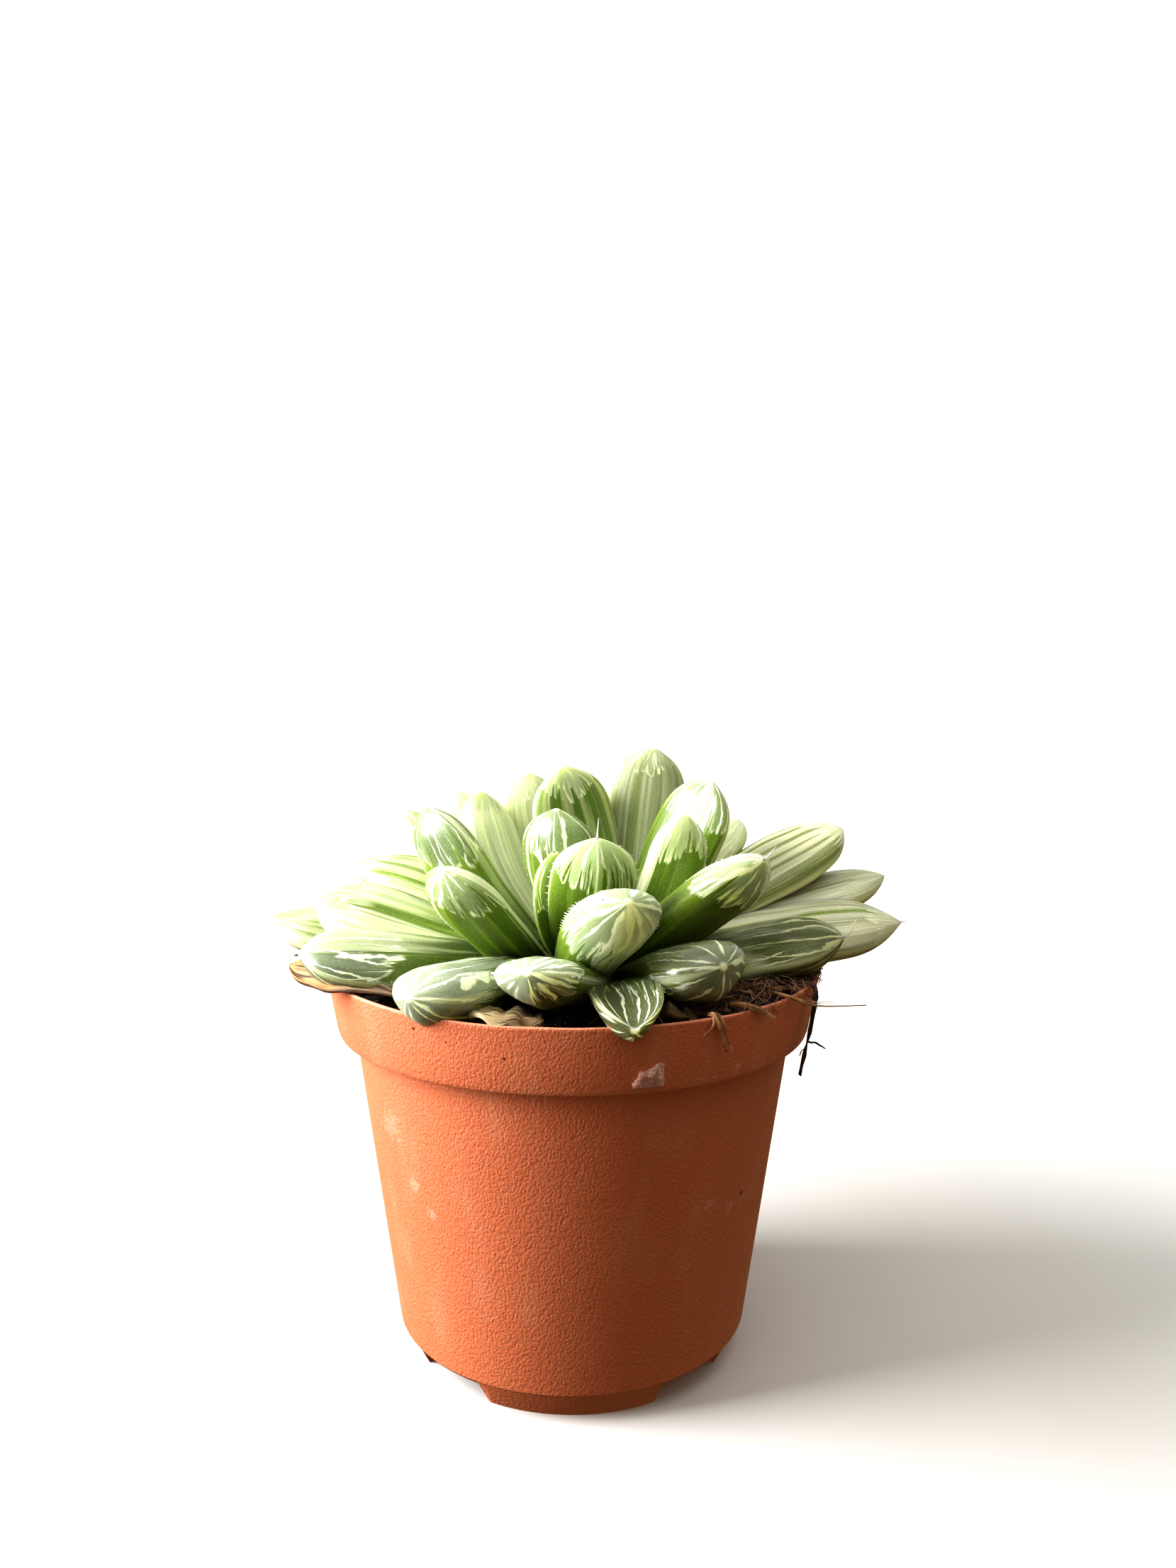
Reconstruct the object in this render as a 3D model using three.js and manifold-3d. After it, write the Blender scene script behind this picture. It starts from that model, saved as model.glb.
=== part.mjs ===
// Potted haworthia: a clump of thick window leaves on a short stem, growing in
// potting soil in a small nursery pot of 85 mm. Millimetres, Z up, the pot's axis on Z,
// the feet on Z = 0 and the front of the plant towards -Y.

import * as THREE from "three";
import { mergeVertices } from "three/addons/utils/BufferGeometryUtils.js";
import Module from "manifold-3d";

const wasm = await Module();
wasm.setup();

// Pot: driving dimensions
const potHeight = 67;
const rimOuterRadius = 42.5;
const lipWidth = 1.3;
const collarBottom = 56.3;
const collarRadius = 40.75;
const wall = 1;
const bodyTopRadius = 37.7;
const skirtHeight = 5.05;
const skirtRadius = 30.5;
const footRadius = 27.4;
const footThickness = 1.2;
const floorUnderside = 4.6;
const floorTop = 5.8;
const potSides = 44;
const notchDegrees = 33;
const notchHeight = 4.2;
const notchSlope = 0.8;
const drainRadius = 3.5;
const drainCircle = 17;

// Plant and soil: driving dimensions
const gap = 0.3;
const stemCentre = new THREE.Vector2(2, -1);
const stemFootRadius = 8;
const stemTopRadius = 6;
const stemBottom = 50;
const stemTop = 70;
const soilEdge = 63.2;
const soilMound = 1.6;
const soilHeap = 4.2;
const soilRings = [10, 20, 28, 34, 37.5];
const soilSides = 20;

// Leaf sections: where they sit along the leaf and how many corners each has
const stations = [0, 0.18, 0.38, 0.56, 0.72, 0.85, 0.94, 0.985];
const leafSides = 8;

// Leaves, the innermost and most upright first. Each row gives the name, the base on the
// stem, the tip, the largest width and thickness, and what differs from a plain leaf:
// arch lifts the middle towards the upper face, sway moves it sideways, roll tips the
// upper face, turn is the way the leaf faces where that isn't simply outwards, widest is
// the share of its length where it is broadest, neck is the width of its base as a share,
// keel sharpens the lower side, and blunt and point shape the end.
const leaves = [
  ["leaf_centre_heart", [2, -1, 69], [-2.9, -10, 94.4], 14.5, 6, { arch: -2, blunt: 2.6 }],
  ["leaf_front_upright", [1, -5, 67], [3.6, -24, 91.4], 14, 7, { arch: -3, blunt: 3, point: 0.5 }],
  ["leaf_heart_young", [4, 0, 70], [5, -4, 86], 8, 4, { arch: -1, blunt: 2.6 }],
  ["leaf_heart_youngest", [4.5, 2.5, 70], [6, 3, 82.5], 6.5, 3.5, { turn: 120, arch: -1 }],
  ["leaf_centre_narrow", [0, -6, 68], [-3.2, -17, 88.3], 10, 5, { arch: -2, roll: 60 }],
  ["leaf_centre_right", [8, -3, 68], [19, -7, 93.1], 11.5, 6, { arch: -4, turn: 20, blunt: 2.6 }],
  ["leaf_centre_left", [7, 5, 68], [-2.4, 8, 100.1], 15.5, 6, { arch: -1, turn: 200, blunt: 2.6 }],
  ["leaf_tallest", [10, 7, 67], [14.5, 14, 103.2], 14.5, 6, { arch: -1, turn: 180, blunt: 3 }],
  ["leaf_back_right_upright", [9.5, 3, 68], [24.4, 4, 98], 14.5, 6, { arch: -1, turn: 150, blunt: 2.6 }],
  ["leaf_front_pointing", [0, -9, 65], [7.8, -42, 84.9], 13.5, 9, { arch: 1, blunt: 3.5, point: 0.5 }],
  ["leaf_front_left_spoon", [-6, -6, 66], [-20.1, -25, 86.7], 14.5, 8, { arch: -0.5, blunt: 3, neck: 0.7 }],
  ["leaf_front_right_spoon", [8, -6, 66], [29.8, -22, 87.9], 17, 9, { arch: 1, blunt: 3 }],
  ["leaf_left_keeled", [-5, -2, 67], [-25.8, 0, 93.6], 17, 8.5,
    { arch: -1, turn: -40, sway: 2.5, blunt: 2.6 }],
  ["leaf_left_back_long", [-3, 3, 68], [-17.3, 14, 95], 12, 6, { arch: -1, turn: 210, sway: -3 }],
  ["leaf_back_left_pale", [-2, 6, 67], [-9, 20, 98], 13, 6, { arch: -2, turn: 200, blunt: 3 }],
  ["leaf_back_middle", [4, 7, 66], [6, 30, 92], 14, 6],
  ["leaf_back_right_pale", [9, 6, 67], [32, 24, 88.5], 14, 6, { arch: 1, blunt: 2.6 }],
  ["leaf_right_upper", [9, 2, 68], [50.2, 15, 88.1], 15, 8, { roll: 20, blunt: 3 }],
  ["leaf_left_pale", [-5, 5, 67], [-22.6, 22, 94], 13, 6, { turn: 210 }],
  ["leaf_left_back_small", [-6, 4, 66], [-32.5, 25, 90], 12, 6],
  ["leaf_left_middle", [-6, 2, 67], [-41.8, 18, 80], 13, 7, { arch: 4, roll: -10 }],
  ["leaf_front_left_end_on", [3, -10, 66.5], [-6.4, -43, 75.2], 14.5, 7.5,
    { arch: -1, blunt: 3, point: 0.5 }],
  ["leaf_front_right_glossy", [7, -9, 65.5], [21.9, -36, 74.3], 14, 9.2,
    { arch: 0.5, roll: 10, neck: 0.4, blunt: 3, point: 0.5 }],
  ["leaf_front_left_drooping", [-5, -8, 67], [-23.5, -39, 70.4], 14, 9.4, { blunt: 3.5, point: 0.5 }],
  ["leaf_right_middle", [10, 1, 67], [57.8, 13, 79.5], 13, 7.5, { roll: 15 }],
  ["leaf_left_long", [-6, -1, 65], [-45.8, 3, 76.7], 16, 8.5, { roll: -25, blunt: 3 }],
  ["leaf_right_low", [9, -6, 65], [44.2, -15, 74], 15, 9, { arch: 0.5, roll: 15, blunt: 2.6 }],
  ["leaf_right_far", [9, 0, 66], [58, 1, 73.2], 15, 9, { arch: 1, roll: 25, point: 0.75 }],
  ["leaf_left_low", [-6, -6, 66], [-43.4, -21, 72.2], 15, 8.5, { roll: -20, blunt: 3 }],
  ["leaf_left_far", [-6, 3, 66], [-56.8, 14, 71.1], 14, 7, { arch: -1.5, roll: -20 }],
  ["leaf_back_1", [-1, 7, 64], [-14, 37, 88], 14, 7],
  ["leaf_front_small", [5, -9, 61], [8.6, -46, 67.9], 11, 5.5,
    { arch: 4, widest: 0.6, point: 0.8, keel: 0.8 }],
  ["leaf_right_under", [9, -2, 62], [48.5, 2, 69.3], 12, 5.5],
  ["leaf_back_2", [7, 6, 63], [34, 36, 79], 15, 7, { arch: 2 }],
  ["leaf_back_3", [3, 7, 63], [7, 47, 80], 15, 7, { arch: 2 }],
  ["leaf_back_4", [-3, 5, 62], [-28, 38, 73], 15, 7, { arch: 3 }],
  ["leaf_back_5", [8, 4, 63], [45, 22, 73], 14, 7, { arch: 2 }],
  ["leaf_back_6", [5, 7, 61], [21, 43, 72], 14, 7, { arch: 3 }],
  ["leaf_back_7", [0, 7, 61], [-10, 45, 71], 15, 7, { arch: 3 }],
  ["leaf_back_8", [-5, 3, 61], [-44, 28, 70], 14, 6.5, { arch: 2 }],
];

// Withered leaves that lie on the soil and the rim, in the same rows
const witheredLeaves = [
  ["withered_leaf_left", [-20, -23.5, 66.8], [-45.3, -19, 70], 9.5, 1.6, { roll: -25 }],
  ["withered_leaf_front", [-4, -35, 65.6], [-15, -37, 67.2], 7, 1.2, { arch: 0.5 }],
  ["withered_leaf_right", [13, -28, 65], [17, -35, 66.4], 5, 2, { arch: 1 }],
];

// Root fibres and the strip of bark: a radius and a path each
const strands = [
  ["fibre_front_1", 0.3, [[19.5, -32, 66], [20.8, -37.2, 67.9], [21.6, -38.4, 65.6], [22.2, -38, 61.6]]],
  ["fibre_front_2", 0.3, [[21, -32, 66], [22, -36.6, 67.9], [22.8, -37.8, 65.6], [23, -37.4, 61.8]]],
  ["fibre_front_3", 0.25, [[18.6, -33.5, 66], [19.4, -37.8, 67.8], [19.2, -39.6, 66.2], [18, -40, 65]]],
  ["fibre_right_1", 0.4, [[24, -29, 67], [27.6, -32.2, 67.9], [29.6, -33.8, 66.6], [30.6, -34.2, 65.2]]],
  ["fibre_right_long", 0.3, [[33, -18, 68], [37, -21, 67.8], [39.6, -22, 66.4], [46.2, -22, 65.2]]],
  ["bark_strip", 0.8, [[35.4, -19.4, 68.6], [38.4, -20.9, 68], [38.6, -20.9, 64], [36.6, -20, 52.6]]],
];

// Remnant of clear tape on the collar: its corners as degrees round from the front and as
// height, and the lift of its two faces from the collar
const tapeCorners = [
  [12.1, 57.6], [11.9, 58.4], [12.9, 59.1], [13.3, 60.1], [15.4, 60.4],
  [17.2, 61.4], [18.3, 61.1], [18.4, 59.5], [18.9, 58.4], [18.3, 57.6],
];
const tapeMiddle = [15.5, 59];
const tapeLifts = [0.35, 0.65];

// A closed surface as a solid that can be joined and cut
function solidFrom(geometry) {
  const plain = geometry.clone();
  plain.deleteAttribute("normal");
  plain.deleteAttribute("uv");
  const merged = mergeVertices(plain, 1e-4);
  return new wasm.Manifold(
    new wasm.Mesh({
      numProp: 3,
      vertProperties: merged.attributes.position.array,
      triVerts: new Uint32Array(merged.index.array),
    }),
  );
}

// A solid as drawable geometry
function geometryFrom(solid) {
  const mesh = solid.getMesh();
  const positions = new Float32Array(mesh.numVert * 3);
  for (let i = 0; i < mesh.numVert; i++) {
    const start = i * mesh.numProp;
    positions.set(mesh.vertProperties.subarray(start, start + 3), i * 3);
  }
  const geometry = new THREE.BufferGeometry();
  geometry.setAttribute("position", new THREE.BufferAttribute(positions, 3));
  geometry.setIndex(new THREE.BufferAttribute(new Uint32Array(mesh.triVerts), 1));
  geometry.computeVertexNormals();
  return geometry;
}

// Cutting can leave loose slivers: the largest body is the piece itself
function largestBody(solid) {
  const bodies = solid.decompose();
  return bodies.reduce((best, body) => (body.volume() > best.volume() ? body : best));
}

function meshOf(name, solid, colour, roughness) {
  const material = new THREE.MeshStandardMaterial({ color: colour, roughness, metalness: 0 });
  const mesh = new THREE.Mesh(geometryFrom(solid), material);
  mesh.name = name;
  return mesh;
}

// Rings of points joined into one closed skin, with a point at each end
function skin(rings, start, end) {
  const sides = rings[0].length;
  const points = [...rings.flat(), start, end];
  const startIndex = rings.length * sides;
  const endIndex = startIndex + 1;
  const faces = [];
  for (let ring = 0; ring < rings.length - 1; ring++) {
    for (let side = 0; side < sides; side++) {
      const next = (side + 1) % sides;
      const a = ring * sides + side;
      const b = ring * sides + next;
      faces.push(a, b + sides, b, a, a + sides, b + sides);
    }
  }
  const last = (rings.length - 1) * sides;
  for (let side = 0; side < sides; side++) {
    const next = (side + 1) % sides;
    faces.push(startIndex, side, next);
    faces.push(endIndex, last + next, last + side);
  }
  const geometry = new THREE.BufferGeometry();
  geometry.setAttribute(
    "position",
    new THREE.Float32BufferAttribute(points.flatMap((p) => [p.x, p.y, p.z]), 3),
  );
  geometry.setIndex(faces);
  return geometry;
}

// Leaf: sections follow a curved centre line. Each has a shallow upper side and a deeper,
// slightly keeled lower side. The blade swells from a narrower neck and closes in a tip.
function leafSolid([, baseAt, tipAt, width, thick, more = {}], grow = 0) {
  const { arch = 0, roll = 0, sway = 0, turn } = more;
  const { widest = 0.68, point = 0.62, neck = 0.55, blunt = 2.2, keel = 0.25 } = more;
  const base = new THREE.Vector3(...baseAt);
  const tip = new THREE.Vector3(...tipAt);
  const axis = tip.clone().sub(base).normalize();
  const angle = THREE.MathUtils.degToRad(turn ?? 0);
  const outward =
    turn === undefined
      ? new THREE.Vector3(tip.x - stemCentre.x, tip.y - stemCentre.y, 0).normalize()
      : new THREE.Vector3(Math.sin(angle), -Math.cos(angle), 0);
  const upper = outward.multiplyScalar(-axis.z);
  upper.z = Math.hypot(axis.x, axis.y);
  upper.addScaledVector(axis, -upper.dot(axis)).normalize();
  const side = axis.clone().cross(upper);
  const middle = base.clone().lerp(tip, 0.5);
  middle.addScaledVector(upper, 2 * arch).addScaledVector(side, 2 * sway);
  upper.applyAxisAngle(axis, THREE.MathUtils.degToRad(roll));
  const line = new THREE.QuadraticBezierCurve3(base, middle, tip);

  const rings = stations.map((s) => {
    const along = line.getTangent(s);
    const centre = line.getPoint(s).addScaledVector(along, s === 0 ? -grow : 0);
    const up = upper.clone().addScaledVector(along, -upper.dot(along)).normalize();
    const across = along.clone().cross(up);
    const swell = Math.sin((Math.PI / 2) * Math.min(1, s / widest));
    const past = Math.max(0, (s - widest) / (1 - widest));
    const close = (1 - past ** blunt) ** point;
    const halfWidth = (width / 2) * (neck + (1 - neck) * swell ** 1.3) * close + grow;
    const depth = thick * (0.75 + 0.25 * swell) * close;
    return Array.from({ length: leafSides }, (_, i) => {
      const phi = (i / leafSides) * 2 * Math.PI;
      const level = Math.sin(phi);
      const lower = (1 - keel) * Math.abs(level) + keel * (1 - Math.abs(Math.cos(phi)));
      const height = level >= 0 ? level * (0.4 * depth + grow) : -lower * (0.6 * depth + grow);
      return centre
        .clone()
        .addScaledVector(across, Math.cos(phi) * halfWidth)
        .addScaledVector(up, height);
    });
  });
  const start = base.clone().addScaledVector(axis, -2 * grow);
  const end = tip.clone().addScaledVector(axis, grow);
  return solidFrom(skin(rings, start, end));
}

// Pot: one turned profile, with the gaps between the feet and the drain holes cut out
function turned(profile, segments) {
  const points = profile.map(([r, z]) => new THREE.Vector2(r, z));
  return solidFrom(new THREE.LatheGeometry(points, segments).rotateX(Math.PI / 2));
}

function potProfile(clearance) {
  const lipInner = rimOuterRadius - lipWidth;
  const bodyInner = bodyTopRadius - wall;
  return [
    [0, floorUnderside - clearance],
    [footRadius - footThickness + 1.6, floorUnderside - clearance],
    [footRadius - footThickness, 0],
    [footRadius, 0],
    [skirtRadius - 0.6 + clearance, skirtHeight - 0.35],
    [skirtRadius + clearance, skirtHeight],
    [bodyTopRadius + clearance, collarBottom - clearance],
    [collarRadius - 0.9 + clearance, collarBottom - clearance],
    [collarRadius - 0.25 + clearance, collarBottom + 0.3],
    [collarRadius + clearance, collarBottom + 1],
    [rimOuterRadius + clearance, potHeight - 0.4],
    [rimOuterRadius - 0.3 + clearance, potHeight + clearance],
    [lipInner + 0.2 - clearance, potHeight + clearance],
    [lipInner - 0.2 - clearance, potHeight - 0.6],
    [collarRadius - wall - clearance, collarBottom + 1.2 + clearance],
    [bodyInner - clearance, collarBottom + 1 + clearance],
    [bodyInner - 0.3 - clearance, collarBottom],
    [skirtRadius - wall - clearance, floorTop + 1],
    [skirtRadius - wall - 0.8, floorTop + clearance],
    [0, floorTop + clearance],
  ];
}

function footNotch() {
  const half = footRadius * Math.tan(THREE.MathUtils.degToRad(notchDegrees / 2));
  const outline = new THREE.Shape();
  outline.moveTo(-half - notchSlope, -1);
  outline.lineTo(half + notchSlope, -1);
  outline.lineTo(half - notchSlope, notchHeight);
  outline.lineTo(-half + notchSlope, notchHeight);
  outline.closePath();
  const cutter = new THREE.ExtrudeGeometry(outline, { depth: 14, bevelEnabled: false });
  return cutter.rotateX(Math.PI / 2).translate(0, -20, 0);
}

function potSolid() {
  let pot = turned(potProfile(0), potSides);
  for (let quarter = 0; quarter < 4; quarter++) {
    const turn = Math.PI / 4 + (quarter * Math.PI) / 2;
    pot = pot.subtract(solidFrom(footNotch().rotateZ(turn)));
    const drain = new THREE.CylinderGeometry(drainRadius, drainRadius, 4, 20);
    drain.rotateX(Math.PI / 2).translate(0, -drainCircle, floorUnderside + 0.5).rotateZ(turn);
    pot = pot.subtract(solidFrom(drain));
  }
  return pot;
}

function stemProfile(clearance) {
  return [
    [0, stemBottom - clearance],
    [stemFootRadius - 2 + clearance, stemBottom - clearance],
    [stemFootRadius + clearance, stemBottom + 6],
    [stemFootRadius + clearance, stemTop - 6],
    [stemTopRadius + clearance, stemTop],
    [0, stemTop + 1.5 + clearance],
  ];
}

function stemSolid(clearance = 0) {
  return turned(stemProfile(clearance), 12).translate(stemCentre.x, stemCentre.y, 0);
}

// Soil: fills the pot. Its surface lies below the lip, mounds gently to the stem, is uneven,
// and is heaped against the lip at the right.
function soilHeight(radius, angle) {
  const x = radius * Math.cos(angle);
  const y = radius * Math.sin(angle);
  const edge = radius / 37.5;
  const bumps = 0.5 * Math.sin(x * 0.55 + 1) * Math.cos(y * 0.5) + 0.3 * Math.sin(x * 1.1 - y * 0.9);
  const towardsHeap = Math.max(0, Math.cos(angle + 0.35)) ** 3;
  return soilEdge + soilMound * (1 - edge * edge) + bumps + soilHeap * towardsHeap * edge ** 2;
}

function soilSolid() {
  const around = Array.from({ length: soilSides }, (_, i) => (i / soilSides) * 2 * Math.PI);
  const ringAt = (radius, height) =>
    around.map((angle) => {
      const z = typeof height === "number" ? height : height(radius, angle);
      return new THREE.Vector3(radius * Math.cos(angle), radius * Math.sin(angle), z);
    });
  const rim = collarRadius - wall - 0.6;
  const rings = [
    ...soilRings.map((radius) => ringAt(radius, soilHeight)),
    ringAt(rim, (radius, angle) => soilHeight(37.5, angle) - 0.3),
    ringAt(rim, collarBottom + 2),
    ringAt(bodyTopRadius - wall - 0.5, collarBottom + 1.6),
    ringAt(bodyTopRadius - wall - 0.9, collarBottom - 0.5),
    ringAt(skirtRadius - wall - 0.6, floorTop + 1.6),
    ringAt(skirtRadius - wall - 2.2, floorTop + 0.35),
  ];
  const top = new THREE.Vector3(0, 0, soilEdge + soilMound);
  const bottom = new THREE.Vector3(0, 0, floorTop + 0.35);
  return solidFrom(skin(rings, top, bottom));
}

// Strand: a thin four-sided cord swept along a smooth path
function strandSolid([, radius, path], grow = 0) {
  const curve = new THREE.CatmullRomCurve3(path.map((p) => new THREE.Vector3(...p)));
  const section = new THREE.Shape();
  section.moveTo(radius + grow, 0);
  section.lineTo(0, radius + grow);
  section.lineTo(-radius - grow, 0);
  section.lineTo(0, -radius - grow);
  section.closePath();
  return solidFrom(
    new THREE.ExtrudeGeometry(section, { steps: 10, bevelEnabled: false, extrudePath: curve }),
  );
}

// Tape remnant: a torn patch that follows the curve and the slope of the collar
function tapeSolid() {
  const slope = (rimOuterRadius - collarRadius) / (potHeight - 0.4 - collarBottom - 1);
  const onCollar = ([degrees, z], lift) => {
    const angle = THREE.MathUtils.degToRad(degrees);
    const radius = collarRadius + slope * (z - collarBottom - 1) + lift;
    return new THREE.Vector3(radius * Math.sin(angle), -radius * Math.cos(angle), z);
  };
  const rings = tapeLifts.map((lift) => tapeCorners.map((corner) => onCollar(corner, lift)));
  const [start, end] = tapeLifts.map((lift) => onCollar(tapeMiddle, lift));
  return solidFrom(skin(rings, start, end));
}

const group = new THREE.Group();
group.name = "potted_haworthia";

const pot = potSolid();
const potKeepOut = turned(potProfile(gap), potSides);
group.add(meshOf("pot", pot, 0xb4613c, 0.6));

// Pieces are laid down from the heart outwards. Each later one is pressed against the
// grown shapes of those before it and against the pot's lip, and the stem and the soil
// give way to all of them.
const placed = [];
let stem = stemSolid();
let soil = soilSolid().subtract(stemSolid(gap));

function addPressed(name, solid, grown, colour, roughness) {
  let pressed = solid.subtract(potKeepOut);
  for (const earlier of placed) {
    pressed = pressed.subtract(earlier);
  }
  placed.push(grown);
  stem = stem.subtract(grown);
  soil = soil.subtract(grown);
  group.add(meshOf(name, largestBody(pressed), colour, roughness));
}

for (const leaf of leaves) {
  addPressed(leaf[0], leafSolid(leaf), leafSolid(leaf, gap), 0x8fae5a, 0.35);
}
for (const leaf of witheredLeaves) {
  addPressed(leaf[0], leafSolid(leaf), leafSolid(leaf, gap), 0xa8825a, 0.7);
}
for (const strand of strands) {
  const colour = strand[0] === "bark_strip" ? 0x2b2119 : 0x8a5f3c;
  addPressed(strand[0], strandSolid(strand), strandSolid(strand, gap), colour, 0.85);
}
group.add(meshOf("stem", largestBody(stem), 0x6f6a3c, 0.8));
group.add(meshOf("soil", largestBody(soil), 0x2a211b, 0.95));
group.add(meshOf("tape_remnant", tapeSolid(), 0xd9d6cf, 0.2));

export default group;
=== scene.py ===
# %% [markdown]
# # A potted haworthia
# This lesson builds a small window-leaved succulent in an 85 mm nursery pot. The thick
# leaves end in see-through windows with white veins. The frame that is loaded first holds
# the measured shapes; every piece made here takes the place of one of them and keeps its
# position. Work is done in millimetres, because that is how a small plant is measured, and
# each finished mesh is scaled to metres once.

import math
import random

import bmesh
import bpy
from mathutils import Matrix, Quaternion, Vector, noise


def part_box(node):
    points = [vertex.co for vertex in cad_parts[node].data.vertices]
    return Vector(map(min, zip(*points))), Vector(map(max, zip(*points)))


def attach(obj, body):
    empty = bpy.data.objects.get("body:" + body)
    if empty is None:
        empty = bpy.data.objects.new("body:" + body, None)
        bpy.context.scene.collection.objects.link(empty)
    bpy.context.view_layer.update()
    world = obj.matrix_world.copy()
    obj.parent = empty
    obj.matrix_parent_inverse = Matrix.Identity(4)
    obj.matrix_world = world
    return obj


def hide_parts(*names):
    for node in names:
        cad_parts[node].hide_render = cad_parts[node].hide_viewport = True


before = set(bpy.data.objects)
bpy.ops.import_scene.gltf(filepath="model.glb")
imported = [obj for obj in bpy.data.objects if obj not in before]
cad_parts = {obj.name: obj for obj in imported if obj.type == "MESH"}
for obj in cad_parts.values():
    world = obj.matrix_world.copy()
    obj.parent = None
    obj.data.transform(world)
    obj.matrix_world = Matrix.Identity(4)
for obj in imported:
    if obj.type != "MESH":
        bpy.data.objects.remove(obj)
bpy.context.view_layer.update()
print("nodes in the frame:", len(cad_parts))

MM = 0.001

# %% [markdown]
# ## Camera
# The camera stands where the photographer stood: a little over 20 cm in front of the pot
# and just above the leaves, looking slightly down. A short distance matters more than the
# lens here, because it decides how large the near leaves look beside the far ones. The
# lens follows from the focal length in pixels on the long side of the picture.

# %% Place the camera
picture_height = 2212
focal_pixels = 1661.5
sensor_size = 36.0
camera_place = Vector((0.00054, -0.2035, 0.1161))
pitch_down, turn_right, lean = 0.091, 0.009, 0.005

gaze = Vector((
    math.sin(turn_right) * math.cos(pitch_down),
    math.cos(turn_right) * math.cos(pitch_down),
    -math.sin(pitch_down),
))
level_right = Vector((math.cos(turn_right), -math.sin(turn_right), 0))
level_up = level_right.cross(gaze)
right = level_right * math.cos(lean) + level_up * math.sin(lean)
up = level_up * math.cos(lean) - level_right * math.sin(lean)

lens = bpy.data.cameras.new("camera")
lens.sensor_width = sensor_size
lens.lens = focal_pixels * sensor_size / picture_height
lens.clip_start = 0.01
camera = bpy.data.objects.new("camera", lens)
bpy.context.scene.collection.objects.link(camera)
camera.matrix_world = Matrix.Translation(camera_place) @ Matrix((right, up, -gaze)).transposed().to_4x4()
bpy.context.scene.camera = camera
print("lens:", round(lens.lens, 2), "mm")

# %% [markdown]
# ## Mixing a finish
# Each finish is a small tree of nodes that ends in the Principled shader. Writing every
# node out in full hides the idea of the finish, so one helper holds the tree and offers
# the few steps that plants and plastic need: a streaky noise, a soft step, a sum and a
# blend of two colours. Colours are given as they look on screen, from 0 to 255.

# %% Turn screen colours into paint
def paint(red, green, blue):
    """A screen colour as the linear values that the shader works with."""
    def linear(value):
        share = value / 255
        return share / 12.92 if share <= 0.04045 else ((share + 0.055) / 1.055) ** 2.4
    return (linear(red), linear(green), linear(blue), 1)


def shade(colour, strength, lift=0):
    """A screen colour made darker or lighter, as paint."""
    return paint(*[min(255, value * strength + lift) for value in colour])


# %% A tray for mixing
class Tray:
    """A tree of nodes, with the steps that every finish is mixed from."""

    def __init__(self, tree):
        self.tree = tree

    def add(self, kind, inputs, **settings):
        node = self.tree.nodes.new("ShaderNode" + kind)
        for key, value in settings.items():
            setattr(node, key, value)
        for key, value in inputs.items():
            self.feed(node.inputs[key], value)
        return node

    def feed(self, socket, value):
        if isinstance(value, bpy.types.NodeSocket):
            self.tree.links.new(value, socket)
        else:
            socket.default_value = value

    def calc(self, operation, *values):
        inputs = dict(enumerate(values))
        return self.add("Math", inputs, operation=operation).outputs[0]

    def times(self, first, second):
        return self.calc("MULTIPLY", first, second)

    def sway(self, value, pattern, amount):
        """A value that a noise, whose middle is a half, moves up and down."""
        return self.calc("MULTIPLY_ADD", self.calc("SUBTRACT", pattern, 0.5), amount, value)

    def rise(self, value, low, high):
        """0 below low and 1 above high, with a soft step between them."""
        inputs = {"Value": value, "From Min": low, "From Max": high}
        return self.add("MapRange", inputs, interpolation_type="SMOOTHSTEP").outputs[0]

    def blend(self, share, first, second):
        inputs = {0: share, 6: first, 7: second}
        return self.add("Mix", inputs, data_type="RGBA").outputs[2]

    def stretch(self, place, scale, shift=(0, 0, 0)):
        inputs = {0: place, 1: scale, 2: shift}
        return self.add("VectorMath", inputs, operation="MULTIPLY_ADD").outputs[0]

    def split(self, place):
        return self.add("SeparateXYZ", {0: place}).outputs

    def away(self, place, centre=(0, 0, 0)):
        """How far a place lies from a centre."""
        inputs = {0: place, 1: centre}
        return self.add("VectorMath", inputs, operation="DISTANCE").outputs["Value"]

    def grain(self, place, scale=1.0, detail=2.0, wobble=0.0):
        inputs = {"Vector": place, "Scale": scale, "Detail": detail, "Distortion": wobble}
        return self.add("TexNoise", inputs).outputs[0]

    def cells(self, place, scale=1.0, feature="F1"):
        return self.add("TexVoronoi", {"Vector": place, "Scale": scale}, feature=feature).outputs[0]

    def millimetres(self):
        place = self.add("TexCoord", {}).outputs["Object"]
        return self.stretch(place, (1000, 1000, 1000))

    def attribute(self, name, output):
        return self.add("Attribute", {}, attribute_name=name).outputs[output]


# %% A finish for one material
class Finish(Tray):
    """A tray whose result goes to the shader of a new material."""

    def __init__(self, name):
        self.material = bpy.data.materials.new(name)
        self.material.use_nodes = True
        super().__init__(self.material.node_tree)
        self.shader = self.tree.nodes["Principled BSDF"]

    def relief(self, height, depth, strength=1.0):
        inputs = {"Height": height, "Distance": depth * MM, "Strength": strength}
        self.feed(self.shader.inputs["Normal"], self.add("Bump", inputs).outputs[0])

    def set(self, **values):
        for key, value in values.items():
            self.feed(self.shader.inputs[key.replace("_", " ")], value)
        return self.material
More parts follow.
